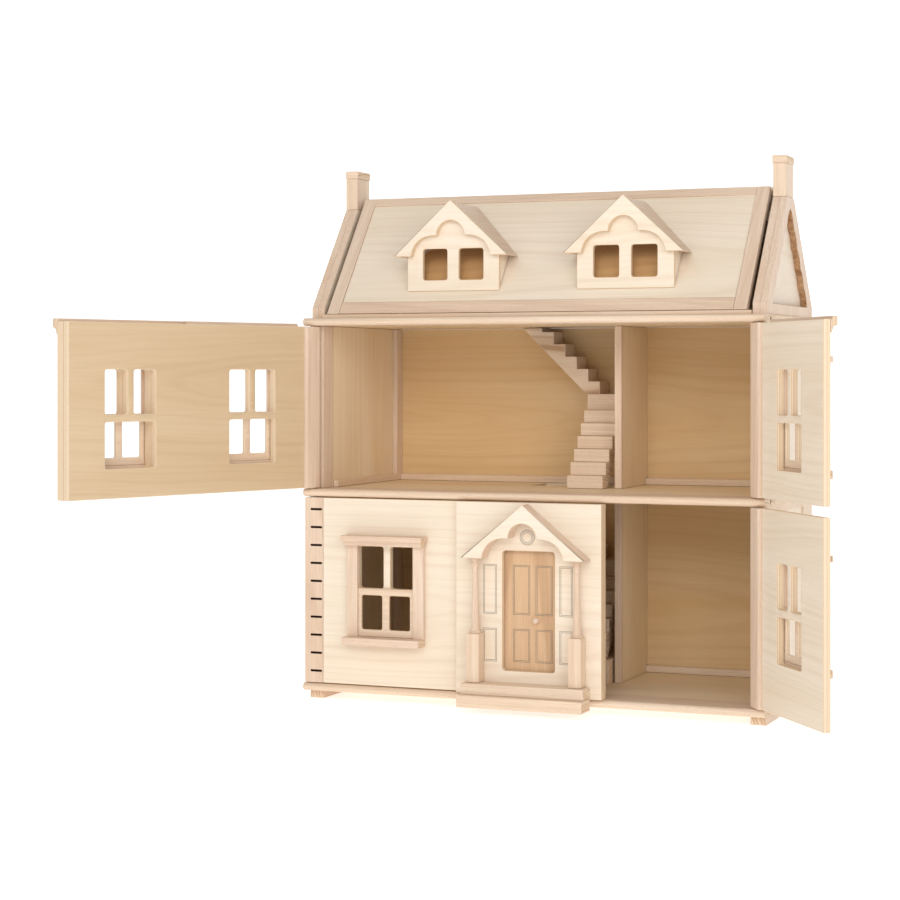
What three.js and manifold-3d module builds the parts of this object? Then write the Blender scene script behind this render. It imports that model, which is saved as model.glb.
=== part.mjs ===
// Wooden dollhouse: two storeys and an attic, four hinged fronts, sliding sash
// windows, an L-shaped stair in each storey and a lifting front roof.
// Millimetres, +X to the right, +Y to the back, +Z up.
import * as THREE from 'three';
import { mergeVertices } from 'three/addons/utils/BufferGeometryUtils.js';
import Module from 'manifold-3d';

const wasm = await Module();
wasm.setup();

// Driving dimensions of the whole house
const boardWidth = 620;
const boardDepth = 283;
const boardThickness = 10;
const runnerHeight = 12;
const runnerWidth = 20;
const runnerSetback = 19;
const runnerBackMargin = 8;
const runnerProud = 0.5;
const lowerClear = 246;
const upperClear = 215;
const gableRise = 152;
const chimneyRise = 53;
const seat = 0.3; // the gap kept between two pieces that rest on each other

// Side walls and back
const wallInset = 2.5;
const wallThickness = 18;
const wallFront = 20;
const wallBackMargin = 3;
const stileWidth = 31;
const rearStileWidth = 50;
const wallRail = 12;
const wallRecess = 3;
const battenProud = 7;
const battenWidth = 20;
const skirtingHeight = 9.5;
const skirtingThickness = 8;
const backThickness = 9;

// Fronts: a corner post turns on its own end pins and carries a plywood panel
const postWidth = 26;
const postDepth = 14;
const postFront = 1.5;
const postRound = 3;
const pivotInset = 8;
const pinRadius = 3;
const pinLength = 5;
const pinClearance = 0.4;
const panelThickness = 9;
const leftPanelWidth = 386.5;
const rightPanelWidth = 172;
const frontClearance = 1.2;
const slotCount = 10;
const slotWidth = 16;
const slotHeight = 2.2;
const slotDepth = 5;
const slotMargin = 15.5;
const slotToEdge = 1.5;
const upperLeftOpen = 110;
const upperRightOpen = 127;
const lowerRightOpen = 127;

// Windows: two upper lights, one lower light and a sash that slides in front
const lightHeight = 54.5;
const lowerLightHeight = 56.5;
const mullion = 10;
const transom = 9;
const cornerRound = 4;
const leftLightWidth = 34.5;
const rightLightWidth = 29.5;
const frameStile = 15;
const frameProud = 7;
const headerHeight = 7;
const headerProud = 23;
const coveHeight = 6;
const coveProud = 16;
const sillHeight = 10;
const sillProud = 24;
const sashThickness = 3.6;
const sashStile = 7;
const sashRail = 9;
const sashClearance = 0.4;
const grooveDepth = 2.5;
const lowerWindowBottom = 62.5; // above the floor of its storey
const upperWindowBottom = 37;
const sashRound = 3;
const sashOverlap = 6; // the sash is this much taller than the lower light
const frameLap = 0.5; // the stiles stand this far over the lights
const headerGap = 2; // above the upper lights
const headerEnd = 3;
const sillLap = 3;
const houseWindowFromPost = 91.7; // from the panel's edge at the post to the window's middle
const bayWindowFromPost = 292.2;
const rightWindowFromPost = 78.2;

// Bay, portico and cornice
const porticoFromPost = 192.2;
const porticoThickness = 9;
const bayThickness = 12;
const corniceHeight = 19;
const corniceNose = 11;
const corniceProud = 8.5;
const corniceRise = 3.8;
const corniceClear = 0.8; // in front of the board above
const doorFromPost = 290.2;
const doorWidth = 70.6;
const doorHeight = 152.5;
const doorSill = 31.5;
const doorLap = 4; // the leaf is this much wider and taller than the opening on each edge
const doorThickness = 6;
const doorRecess = 1.5; // behind the portico board's back
const doorGap = 0.5;
const doorPinRadius = 1;
const doorPinLength = 4;
const knobHeight = 64.5;
const knobOffset = 8;
const knobRadius = 4;
const knobLength = 9;
const pedimentHalf = 83;
const pedimentHeight = 69;
const pedimentThickness = 24;
const pedimentTop = 1.1; // below the top of the portico board
const pedimentLobe = 19;
const pedimentSideLobe = 35.5;
const columnSpread = 67.8;
const columnRadius = 5.8;
const pedestalWidth = 19;
const pedestalDepth = 21;
const pedestalHeight = 62;
const stepWidth = 163;
const upperStepHeight = 13.5;
const upperStepDepth = 28.5;
const lowerStepHeight = 15.5;
const lowerStepFront = 47;
const lowerStepDepth = 35;
const stepTop = 17; // upper step above the base floor
const lowerStepEnd = 1.5; // the lower step is longer at each end

// Dividers and stairs
const dividerX = 73;
const dividerThickness = 9.6;
const dividerFromBack = 121;
const stairX = 12;
const stairWidth = 49.5;
const stairRun = 14.5;
const flightRun = 16.6;
const flightDepth = 42;
const flightInset = 4;
const flightTail = 12;
const landingThickness = 22;
const landingDepth = 49.7;
const landingDrop = 6; // the landing's underside below its front edge
const landingTaper = 12;
const soffitStart = 22; // the sloping underside starts this far behind the first riser
const landingRisers = 1.3; // the landing counts for this many risers
const stairHead = 6; // under the ceiling
const plinthReach = 8;
const lowerFlightSteps = 6;
const upperFlightSteps = 5;
const holeLeft = -62;
const holeFromBack = 81;
const holeToDivider = 7;
const holeToBack = 9;

// Roof and attic
const gableThickness = 18;
const gableFront = 24;
const gableFoot = 14;
const gableRecess = 8.5;
const gableStile = 31; // measured level, from front to back
const scallopDepth = 3.4;
const scallopCount = 5;
const chimneyDepth = 40;
const chimneyCap = 10;
const capProud = 1;
const roofGap = 6;
const roofThickness = 10;
const ridgeGap = 8.26; // from the ridge to the top edge of each roof panel
const roofStile = 17;
const roofTopRail = 13;
const roofBottomRail = 21;
const roofPlyRecess = 1.5;
const roofPlyThickness = 6;
const sillRailHeight = 5;
const sillRailDepth = 19.5;
const sillRailProud = 1.5;
const beamWidth = 12;
const beamHeight = 14;
const beamDrop = 16; // below the roof panels' undersides
const dormerSpread = 117;
const dormerShift = 4.5; // both dormers stand this far to the right of the middle
const dormerWidth = 128;
const dormerFront = 40;
const dormerWall = 6;
const dormerLight = 34.3;
const dormerLightHeight = 41;
const dormerLightSill = 14.5;
const dormerMullion = 16;
const dormerPedimentHalf = 80;
const dormerPedimentHeight = 73;
const dormerPedimentThickness = 10;
const dormerLobe = 19.5;
const dormerSideLobe = 36;
const dormerReach = 160; // the cheeks and slabs run back this far before the slope trims them
const dormerEave = 583;
const dormerSlab = 6;
const slabDrop = 2.5;

// Levels and faces worked out from them
const baseUnder = runnerHeight;
const baseTop = baseUnder + boardThickness;
const middleUnder = baseTop + lowerClear;
const middleTop = middleUnder + boardThickness;
const atticUnder = middleTop + upperClear;
const atticTop = atticUnder + boardThickness;
const gableTop = atticTop + gableRise;
const wallOuter = boardWidth / 2 - wallInset;
const wallInner = wallOuter - wallThickness;
const wallBack = boardDepth - wallBackMargin;
const backFace = wallBack - backThickness;
const pivotX = wallOuter - pivotInset;
const pivotY = postFront + postDepth / 2;
const panelEdge = wallOuter - postWidth - seat;
const panelFront = postFront;
const panelBack = panelFront + panelThickness;
const boardFace = panelFront - seat - porticoThickness;
const bayFace = panelFront - seat - bayThickness;
const rightPanelEnd = panelEdge - rightPanelWidth;
const leftPanelEnd = -panelEdge + leftPanelWidth;
const houseWindowX = -panelEdge + houseWindowFromPost;
const bayWindowX = -panelEdge + bayWindowFromPost;
const rightWindowX = panelEdge - rightWindowFromPost;
const porticoLeft = -panelEdge + porticoFromPost;
const doorCentreX = -panelEdge + doorFromPost;
const stairBack = backFace - seat;
const landingFront = stairBack - landingDepth;
const stairFront = landingFront - lowerFlightSteps * stairRun;
const stairRise = (upperClear - stairHead) / (lowerFlightSteps + upperFlightSteps + landingRisers);
const dividerFront = backFace - dividerFromBack;
const holeFront = backFace - holeFromBack;
const ridgeY = (gableFront + wallBack) / 2;
const bendZ = atticTop + gableFoot;
const topHalf = chimneyDepth / 2;
const slope = (gableTop - bendZ) / (ridgeY - topHalf - gableFront);
const slopeAngle = Math.atan(slope);
const roofHalf = wallInner - roofGap;
const roofTop = bendZ + (ridgeY - ridgeGap - gableFront) * slope;
const roofBottom = atticTop + sillRailHeight + 2 * seat;
const dormerBottom = bendZ + (dormerFront - gableFront) * slope;
const pedimentBase = middleUnder - frontClearance - pedimentTop - pedimentHeight;

// Materials
const rubberwood = new THREE.MeshStandardMaterial({ color: '#e6cfb2', roughness: 0.6, metalness: 0 });
const plywood = new THREE.MeshStandardMaterial({ color: '#ecdcbf', roughness: 0.65, metalness: 0 });
const doorWood = new THREE.MeshStandardMaterial({ color: '#d9b184', roughness: 0.6, metalness: 0 });

// Every shape starts as a three.js geometry and becomes a Manifold to be cut or joined

function solid(geometry) {
  const bare = geometry.clone();
  bare.deleteAttribute('normal');
  bare.deleteAttribute('uv');
  const merged = mergeVertices(bare, 1e-4);
  return new wasm.Manifold(new wasm.Mesh({
    numProp: 3,
    vertProperties: new Float32Array(merged.attributes.position.array),
    triVerts: new Uint32Array(merged.index.array),
  }));
}

function geometryOf(manifold) {
  const mesh = manifold.getMesh();
  const geometry = new THREE.BufferGeometry();
  geometry.setAttribute('position', new THREE.BufferAttribute(mesh.vertProperties.slice(), 3));
  geometry.setIndex(new THREE.BufferAttribute(mesh.triVerts.slice(), 1));
  geometry.computeVertexNormals();
  return geometry;
}

const piece = (name, shape, material) => {
  const mesh = new THREE.Mesh(geometryOf(shape), material);
  mesh.name = name;
  return mesh;
};

const box = (x0, x1, y0, y1, z0, z1) => {
  const geometry = new THREE.BoxGeometry(x1 - x0, y1 - y0, z1 - z0);
  geometry.translate((x0 + x1) / 2, (y0 + y1) / 2, (z0 + z1) / 2);
  return solid(geometry);
};

const outline = (points) => new THREE.Shape(points.map(([u, v]) => new THREE.Vector2(u, v)));

function extruded(shape, length, curveSegments = 6) {
  return new THREE.ExtrudeGeometry(shape, { depth: length, bevelEnabled: false, curveSegments });
}

// A (y, z) profile carried along X
function alongX(shape, x0, x1, curveSegments) {
  const geometry = extruded(shape, x1 - x0, curveSegments);
  const turn = new THREE.Matrix4().makeBasis(
    new THREE.Vector3(0, 1, 0),
    new THREE.Vector3(0, 0, 1),
    new THREE.Vector3(1, 0, 0),
  );
  geometry.applyMatrix4(turn);
  geometry.translate(x0, 0, 0);
  return solid(geometry);
}

// An (x, z) profile carried along Y
function alongY(shape, y0, y1, curveSegments) {
  const geometry = extruded(shape, y1 - y0, curveSegments);
  geometry.rotateX(Math.PI / 2);
  geometry.translate(0, y1, 0);
  return solid(geometry);
}

// An (x, y) profile carried along Z
function alongZ(shape, z0, z1, curveSegments) {
  const geometry = extruded(shape, z1 - z0, curveSegments);
  geometry.translate(0, 0, z0);
  return solid(geometry);
}

function rod(x, y, z0, z1, radius, sides = 20) {
  const geometry = new THREE.CylinderGeometry(radius, radius, z1 - z0, sides);
  geometry.rotateX(Math.PI / 2);
  geometry.translate(x, y, (z0 + z1) / 2);
  return solid(geometry);
}

function roundedRectangle(path, x0, x1, z0, z1, r) {
  path.moveTo(x0 + r, z0);
  path.lineTo(x1 - r, z0);
  path.absarc(x1 - r, z0 + r, r, -Math.PI / 2, 0, false);
  path.lineTo(x1, z1 - r);
  path.absarc(x1 - r, z1 - r, r, 0, Math.PI / 2, false);
  path.lineTo(x0 + r, z1);
  path.absarc(x0 + r, z1 - r, r, Math.PI / 2, Math.PI, false);
  path.lineTo(x0, z0 + r);
  path.absarc(x0 + r, z0 + r, r, Math.PI, Math.PI * 1.5, false);
  return path;
}

const opening = (x0, x1, y0, y1, z0, z1, r = cornerRound) => (
  alongY(roundedRectangle(new THREE.Shape(), x0, x1, z0, z1, r), y0, y1, 4)
);

// A floor board with a half-round nosing, a stair hole and the sockets of the post pins
function floorBoard(name, under, hasHole, pinAbove, pinBelow) {
  const top = under + boardThickness;
  const radius = boardThickness / 2;
  const profile = new THREE.Shape();
  profile.moveTo(boardDepth, under);
  profile.lineTo(boardDepth, top);
  profile.lineTo(radius, top);
  profile.absarc(radius, under + radius, radius, Math.PI / 2, Math.PI * 1.5, false);
  profile.closePath();
  let board = alongX(profile, -boardWidth / 2, boardWidth / 2, 8);
  if (hasHole) {
    const hole = box(
      holeLeft, dividerX - holeToDivider, holeFront, backFace - holeToBack, under - 1, top + 1,
    );
    board = board.subtract(hole);
  }
  const reach = pinLength + pinClearance;
  for (const side of [-1, 1]) {
    const socket = (z0, z1) => rod(side * pivotX, pivotY, z0, z1, pinRadius + pinClearance);
    if (pinAbove) {
      board = board.subtract(socket(top - reach + frontClearance, top + 1));
    }
    if (pinBelow) {
      board = board.subtract(socket(under - 1, under + reach - frontClearance));
    }
  }
  return piece(name, board, rubberwood);
}

// A side wall: stiles and rails with plywood set back outside, battens inside
function sideWall(name, side, floor, ceiling) {
  const z0 = floor + seat;
  const z1 = ceiling - seat;
  const inner = (x0, x1, y0, y1, a, b) => (
    side > 0 ? box(x0, x1, y0, y1, a, b) : box(-x1, -x0, y0, y1, a, b)
  );
  let wall = inner(wallInner, wallOuter, wallFront, wallBack, z0, z1);
  const recess = inner(
    wallOuter - wallRecess, wallOuter + 1,
    wallFront + stileWidth, wallBack - rearStileWidth, z0 + wallRail, z1 - wallRail,
  );
  const batten = inner(
    wallInner - battenProud, wallInner + 1,
    backFace - seat - battenWidth, backFace - seat, z0, z1,
  );
  const footRail = inner(
    wallInner - battenProud, wallInner + 1,
    wallFront + stileWidth, backFace - battenWidth, z0, z0 + skirtingHeight,
  );
  wall = wall.subtract(recess).add(batten).add(footRail);
  return piece(name, wall, rubberwood);
}

function skirting(name, floor) {
  const end = wallInner - battenProud - seat;
  const rear = backFace - seat;
  const rail = box(-end, end, rear - skirtingThickness, rear, floor + seat, floor + skirtingHeight);
  return piece(name, rail, rubberwood);
}

function divider(name, floor, ceiling) {
  const rear = backFace - seat;
  const notch = rear - skirtingThickness - seat;
  const lip = floor + skirtingHeight + seat;
  const shape = outline([
    [dividerFront, floor + seat], [notch, floor + seat], [notch, lip], [rear, lip],
    [rear, ceiling - seat], [dividerFront, ceiling - seat],
  ]);
  return piece(name, alongX(shape, dividerX, dividerX + dividerThickness), plywood);
}

// The stair: a flight to the back, a landing, then a flight to the left.
// A plinth lifts it where the storey is taller than the stair.
function stair(name, floor, ceiling) {
  const foot = ceiling - upperClear;
  const right = stairX + stairWidth;
  const clearOfSkirting = stairBack - skirtingThickness - seat;
  const start = foot + seat;
  const first = [[stairFront, start]];
  for (let step = 1; step <= lowerFlightSteps; step += 1) {
    const y = stairFront + (step - 1) * stairRun;
    first.push([y, start + step * stairRise], [y + stairRun, start + step * stairRise]);
  }
  const landingTop = start + lowerFlightSteps * stairRise + landingThickness;
  const landingUnder = landingTop - landingThickness;
  first.push([landingFront, landingTop], [stairBack, landingTop], [stairBack, landingUnder - landingDrop]);
  first.push([landingFront + landingTaper, landingUnder - landingDrop], [stairFront + soffitStart, start]);
  let flights = alongX(outline(first), stairX, right);
  const front = landingFront + flightInset;
  const second = [[stairX + flightRun, landingTop - 2]];
  for (let step = 1; step <= upperFlightSteps; step += 1) {
    const x = stairX + flightRun - (step - 1) * flightRun;
    second.push([x, landingTop + step * stairRise], [x - flightRun, landingTop + step * stairRise]);
  }
  const top = ceiling - seat;
  const topX = stairX - (upperFlightSteps - 1) * flightRun;
  second.push([topX - 1, top], [topX - flightRun - flightTail, top], [stairX, landingTop - 3]);
  second.push([stairX + 1, landingTop - landingDrop], [stairX + flightRun, landingTop - landingDrop]);
  flights = flights.add(alongY(outline(second), front, front + flightDepth));
  if (foot - floor > boardThickness) {
    const plinth = box(
      stairX, right + plinthReach, stairFront, clearOfSkirting, floor + seat, start + seat,
    );
    flights = flights.add(plinth);
  }
  return piece(name, flights, rubberwood);
}

// Front slope at a level, and its mirror image at the back
const slopeFront = (z) => gableFront + (z - bendZ) / slope;

function scallopedEdge(path, y0, z0, y1, z1) {
  for (let lobe = 1; lobe <= scallopCount; lobe += 1) {
    const from = (lobe - 1) / scallopCount;
    const to = lobe / scallopCount;
    const middle = (from + to) / 2;
    const length = Math.hypot(y1 - y0, z1 - z0);
    const outY = ((z1 - z0) / length) * scallopDepth * 2;
    const outZ = (-(y1 - y0) / length) * scallopDepth * 2;
    path.quadraticCurveTo(
      y0 + (y1 - y0) * middle + outY, z0 + (z1 - z0) * middle + outZ,
      y0 + (y1 - y0) * to, z0 + (z1 - z0) * to,
    );
  }
}

function gable(name, side) {
  const z0 = atticTop + seat;
  const shape = outline([
    [gableFront, z0], [wallBack, z0], [wallBack, bendZ],
    [ridgeY + topHalf, gableTop], [ridgeY - topHalf, gableTop], [gableFront, bendZ],
  ]);
  const x0 = side > 0 ? wallInner : -wallOuter;
  const x1 = x0 + gableThickness;
  let wall = alongX(shape, x0, x1);
  const foot = slopeFront(bendZ) + gableStile;
  const apex = bendZ + (ridgeY - foot) * slope;
  const recess = new THREE.Shape();
  recess.moveTo(foot, bendZ);
  recess.lineTo(2 * ridgeY - foot, bendZ);
  scallopedEdge(recess, 2 * ridgeY - foot, bendZ, ridgeY, apex);
  scallopedEdge(recess, ridgeY, apex, foot, bendZ);
  const cut = side > 0
    ? alongX(recess, x1 - gableRecess, x1 + 1, 4)
    : alongX(recess, x0 - 1, x0 + gableRecess, 4);
  wall = wall.subtract(cut);
  return piece(name, wall, rubberwood);
}

function chimney(name, side) {
  const x0 = side > 0 ? wallInner : -wallOuter;
  const x1 = x0 + gableThickness - 1;
  const z0 = gableTop + seat;
  const z1 = gableTop + chimneyRise;
  const stack = box(x0, x1, ridgeY - topHalf, ridgeY + topHalf, z0, z1 - chimneyCap + 0.5);
  const cap = box(
    x0 - capProud, x1 + capProud,
    ridgeY - topHalf - capProud, ridgeY + topHalf + capProud, z1 - chimneyCap, z1,
  );
  return piece(name, stack.add(cap), rubberwood);
}

// A roof panel in its own slope plane: u runs across, v up the slope from the eave
const slopeLength = (roofTop - roofBottom) / Math.sin(slopeAngle);

// Carries a flat (across, up) outline to the front slope, from one depth to another under its face
function onSlope(shape, depth0, depth1, curveSegments = 4) {
  const geometry = extruded(shape, depth1 - depth0, curveSegments);
  geometry.translate(0, 0, -depth1);
  geometry.rotateX(slopeAngle);
  geometry.translate(0, slopeFront(roofBottom), roofBottom);
  return solid(geometry);
}

// Roof panels are drawn past the eave and cut off level at its height
const pastEave = 20;
const belowEave = () => box(
  -boardWidth, boardWidth, -boardDepth, ridgeY, roofBottom - 3 * pastEave, roofBottom,
);

const roofPlate = () => outline([
  [-roofHalf, -pastEave], [roofHalf, -pastEave], [roofHalf, slopeLength], [-roofHalf, slopeLength],
]);

function roofFrame(name) {
  const plate = roofPlate();
  plate.holes.push(roundedRectangle(
    new THREE.Path(), -roofHalf + roofStile, roofHalf - roofStile,
    roofBottomRail, slopeLength - roofTopRail, cornerRound,
  ));
  return piece(name, onSlope(plate, 0, roofThickness).subtract(belowEave()), rubberwood);
}

function roofPly(name) {
  const sheet = roundedRectangle(
    new THREE.Shape(), -roofHalf + roofStile + seat, roofHalf - roofStile - seat,
    roofBottomRail + seat, slopeLength - roofTopRail - seat, cornerRound,
  );
  return piece(name, onSlope(sheet, roofPlyRecess, roofPlyRecess + roofPlyThickness), plywood);
}

function backRoof(name) {
  const panel = onSlope(roofPlate(), 0, roofThickness).subtract(belowEave());
  const mirrored = panel.mirror([0, 1, 0]).translate([0, 2 * ridgeY, 0]);
  return piece(name, mirrored, plywood);
}

// The scalloped underside shared by the portico and the dormers
function pedimentShape(centre, half, base, height, lobe, sideLobe) {
  const shape = new THREE.Shape();
  shape.moveTo(centre - half, base);
  shape.lineTo(centre - lobe - sideLobe, base);
  shape.quadraticCurveTo(
    centre - lobe - sideLobe * 0.85, base + sideLobe * 0.78,
    centre - lobe, base + sideLobe * 0.74,
  );
  shape.absarc(centre, base + sideLobe * 0.74, lobe, Math.PI, 0, true);
  shape.quadraticCurveTo(
    centre + lobe + sideLobe * 0.85, base + sideLobe * 0.78,
    centre + lobe + sideLobe, base,
  );
  shape.lineTo(centre + half, base);
  shape.lineTo(centre, base + height);
  shape.closePath();
  return shape;
}

// Everything under the front roof's face, used to trim what stands on it
const underRoof = () => onSlope(outline([
  [-boardWidth, -boardWidth], [boardWidth, -boardWidth],
  [boardWidth, boardWidth], [-boardWidth, boardWidth],
]), -seat, boardWidth);

function dormer(name, x) {
  const half = dormerWidth / 2;
  const pitch = dormerPedimentHeight / dormerPedimentHalf;
  const rise = dormerPedimentHeight - slabDrop;
  const reach = dormerPedimentHalf - slabDrop;
  const underReach = reach - dormerSlab / pitch;
  const underRise = rise - dormerSlab;
  const under = (offset) => dormerEave + underRise * (1 - offset / underReach);
  const shape = outline([
    [x - half, dormerBottom - 5], [x + half, dormerBottom - 5], [x + half, under(half) - seat],
    [x, under(0) - seat], [x - half, under(half) - seat],
  ]);
  const sill = dormerBottom + dormerLightSill;
  for (const left of [x - dormerMullion / 2 - dormerLight, x + dormerMullion / 2]) {
    shape.holes.push(roundedRectangle(
      new THREE.Path(), left, left + dormerLight, sill, sill + dormerLightHeight, cornerRound,
    ));
  }
  const back = dormerFront + dormerWall;
  let body = alongY(shape, dormerFront, back, 4);
  for (const side of [-1, 1]) {
    const outer = x + side * half;
    const inner = outer - side * dormerWall;
    body = body.add(box(
      Math.min(outer, inner), Math.max(outer, inner),
      dormerFront, dormerReach, dormerBottom - 5, under(half) - seat,
    ));
  }
  body = body.subtract(underRoof());

  const pedimentBack = dormerFront - seat;
  const pediment = alongY(
    pedimentShape(x, dormerPedimentHalf, dormerEave, dormerPedimentHeight, dormerLobe, dormerSideLobe),
    pedimentBack - dormerPedimentThickness, pedimentBack, 8,
  );

  const slab = outline([
    [x - reach, dormerEave], [x - underReach, dormerEave], [x, under(0)],
    [x + underReach, dormerEave], [x + reach, dormerEave], [x, dormerEave + rise],
  ]);
  const slabs = alongY(slab, dormerFront, dormerReach).subtract(underRoof());
  return [
    piece(`${name}_body`, body, plywood),
    piece(`${name}_pediment`, pediment, plywood),
    piece(`${name}_roof`, slabs, plywood),
  ];
}

function post(name, side, floor, ceiling, slots) {
  const z0 = floor + frontClearance;
  const z1 = ceiling - frontClearance;
  const outer = side * wallOuter;
  const left = Math.min(outer, outer - side * postWidth);
  const right = left + postWidth;
  const shape = roundedRectangle(
    new THREE.Shape(), left, right, postFront, postFront + postDepth, postRound,
  );
  let block = alongZ(shape, z0, z1, 4);
  const pinEnd = pinLength - frontClearance;
  block = block.add(rod(side * pivotX, pivotY, z0 - pinEnd, z1 + pinEnd, pinRadius));
  if (slots) {
    const pitch = (z1 - z0 - 2 * slotMargin) / (slotCount - 1);
    for (let index = 0; index < slotCount; index += 1) {
      const z = z0 + slotMargin + index * pitch - slotHeight / 2;
      const x = right - slotToEdge - slotWidth;
      block = block.subtract(box(x, x + slotWidth, postFront - 1, postFront + slotDepth, z, z + slotHeight));
    }
  }
  return piece(name, block, rubberwood);
}

// The lights cut for a window: two above, one wide one below
function windowCut(x, bottom, light, y0, y1) {
  const half = light + mullion / 2;
  const sill = bottom + lowerLightHeight + transom;
  return opening(x - half, x + half, y0, y1, bottom, bottom + lowerLightHeight)
    .add(opening(x - half, x - mullion / 2, y0, y1, sill, sill + lightHeight))
    .add(opening(x + mullion / 2, x + half, y0, y1, sill, sill + lightHeight));
}

// The frame round a window: moulded header, stiles with a groove behind, and a deep sill
function windowParts(name, x, bottom, light, face) {
  const inner = light + mullion / 2 - frameLap;
  const half = inner + frameStile;
  const back = face - seat;
  const headerUnder = bottom + lowerLightHeight + transom + lightHeight + headerGap;
  const sillTop = bottom + sillLap;
  const header = new THREE.Shape();
  header.moveTo(back, headerUnder);
  header.lineTo(back, headerUnder + coveHeight + headerHeight);
  header.lineTo(back - headerProud, headerUnder + coveHeight + headerHeight);
  header.lineTo(back - headerProud, headerUnder + coveHeight);
  header.quadraticCurveTo(back - coveProud, headerUnder + coveHeight, back - coveProud, headerUnder);
  header.closePath();
  let frame = alongX(header, x - half - headerEnd, x + half + headerEnd, 5);
  frame = frame.add(box(x - half, x + half, back - sillProud, back, sillTop - sillHeight, sillTop));
  for (const side of [-1, 1]) {
    const a = x + side * inner;
    const b = x + side * half;
    frame = frame.add(box(
      Math.min(a, b), Math.max(a, b), back - frameProud, back, sillTop - 1, headerUnder + 1,
    ));
    const groove = x + side * (inner + grooveDepth);
    frame = frame.subtract(box(
      Math.min(a - side, groove), Math.max(a - side, groove),
      back - sashThickness - 2 * sashClearance, back + 1, sillTop, headerUnder,
    ));
  }
  const sashHalf = inner + grooveDepth - sashClearance;
  const sashHeight = lowerLightHeight + sashOverlap;
  const sashBottom = sillTop + seat;
  const sashBack = back - sashClearance;
  let sash = box(
    x - sashHalf, x + sashHalf, sashBack - sashThickness, sashBack, sashBottom, sashBottom + sashHeight,
  );
  const pane = (x0, x1) => opening(
    x0, x1, sashBack - sashThickness - 1, sashBack + 1,
    sashBottom + sashRail, sashBottom + sashHeight - sashRail, sashRound,
  );
  sash = sash.subtract(pane(x - sashHalf + sashStile, x - mullion / 2));
  sash = sash.subtract(pane(x + mullion / 2, x + sashHalf - sashStile));
  return [piece(`${name}_frame`, frame, rubberwood), piece(`${name}_sash`, sash, rubberwood)];
}

// A cornice over a front; it laps the edge of the floor board above
function corniceRun(x0, x1, ceiling, face, proud) {
  const top = ceiling - frontClearance + corniceRise;
  const front = face - seat - proud;
  const lap = ceiling - frontClearance;
  const clear = Math.min(-corniceClear, face - seat);
  const profile = new THREE.Shape();
  profile.moveTo(face - seat, top - corniceHeight);
  profile.lineTo(face - seat, lap);
  profile.lineTo(clear, lap);
  profile.lineTo(clear, top);
  profile.lineTo(front, top);
  profile.lineTo(front, top - corniceNose);
  profile.quadraticCurveTo(face - seat - 2, top - corniceNose, face - seat - 2, top - corniceHeight);
  profile.closePath();
  return alongX(profile, x0, x1, 5);
}

function panelSheet(x0, x1, floor, ceiling) {
  return box(x0, x1, panelFront, panelBack, floor + frontClearance, ceiling - frontClearance);
}

function raisedBoard(floor, ceiling, face, thickness) {
  return box(
    porticoLeft, leftPanelEnd, face, face + thickness, floor + frontClearance, ceiling - frontClearance,
  );
}

// A front turns about its post's pins: closed at zero, opened by a signed angle
function hinged(side, degrees, parts) {
  const group = new THREE.Group();
  const pivot = new THREE.Group();
  pivot.position.set(side * pivotX, pivotY, 0);
  pivot.rotation.z = THREE.MathUtils.degToRad(side * degrees);
  group.position.set(-side * pivotX, -pivotY, 0);
  group.add(...parts);
  pivot.add(group);
  return pivot;
}

function upperLeftFront() {
  const bottom = middleTop + upperWindowBottom;
  let sheet = panelSheet(-panelEdge, leftPanelEnd, middleTop, atticUnder);
  sheet = sheet.subtract(windowCut(houseWindowX, bottom, leftLightWidth, panelFront - 1, panelBack + 1));
  sheet = sheet.subtract(windowCut(bayWindowX, bottom, leftLightWidth, panelFront - 1, panelBack + 1));
  let bay = raisedBoard(middleTop, atticUnder, bayFace, bayThickness);
  bay = bay.subtract(
    windowCut(bayWindowX, bottom, leftLightWidth, bayFace - 1, bayFace + bayThickness + 1),
  );
  const flat = corniceRun(-panelEdge, porticoLeft - seat, atticUnder, panelFront, corniceProud);
  const proud = corniceRun(porticoLeft - corniceProud, leftPanelEnd, atticUnder, bayFace, corniceProud);
  const bridge = box(
    porticoLeft - corniceProud, porticoLeft - seat, bayFace - corniceProud - seat, panelFront - seat - 1,
    atticUnder - corniceNose, atticUnder - frontClearance,
  );
  return hinged(-1, upperLeftOpen, [
    post('upper_left_post', -1, middleTop, atticUnder, false),
    piece('upper_left_panel', sheet, plywood),
    piece('upper_left_bay', bay, plywood),
    piece('upper_left_cornice', flat.add(bridge).add(proud), rubberwood),
    ...windowParts('upper_left_window', houseWindowX, bottom, leftLightWidth, panelFront),
    ...windowParts('bay_window', bayWindowX, bottom, leftLightWidth, bayFace),
  ].flat());
}

function rightFront(storey, floor, ceiling, windowBottom, degrees, withCornice) {
  const bottom = floor + windowBottom;
  let sheet = panelSheet(rightPanelEnd, panelEdge, floor, ceiling);
  sheet = sheet.subtract(
    windowCut(rightWindowX, bottom, rightLightWidth, panelFront - 1, panelBack + 1),
  );
  const parts = [
    post(`${storey}_right_post`, 1, floor, ceiling, false),
    piece(`${storey}_right_panel`, sheet, plywood),
    ...windowParts(`${storey}_right_window`, rightWindowX, bottom, rightLightWidth, panelFront),
  ];
  if (withCornice) {
    const run = corniceRun(rightPanelEnd, panelEdge, ceiling, panelFront, corniceProud);
    parts.push(piece(`${storey}_right_cornice`, run, rubberwood));
  }
  return hinged(1, degrees, parts);
}

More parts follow.
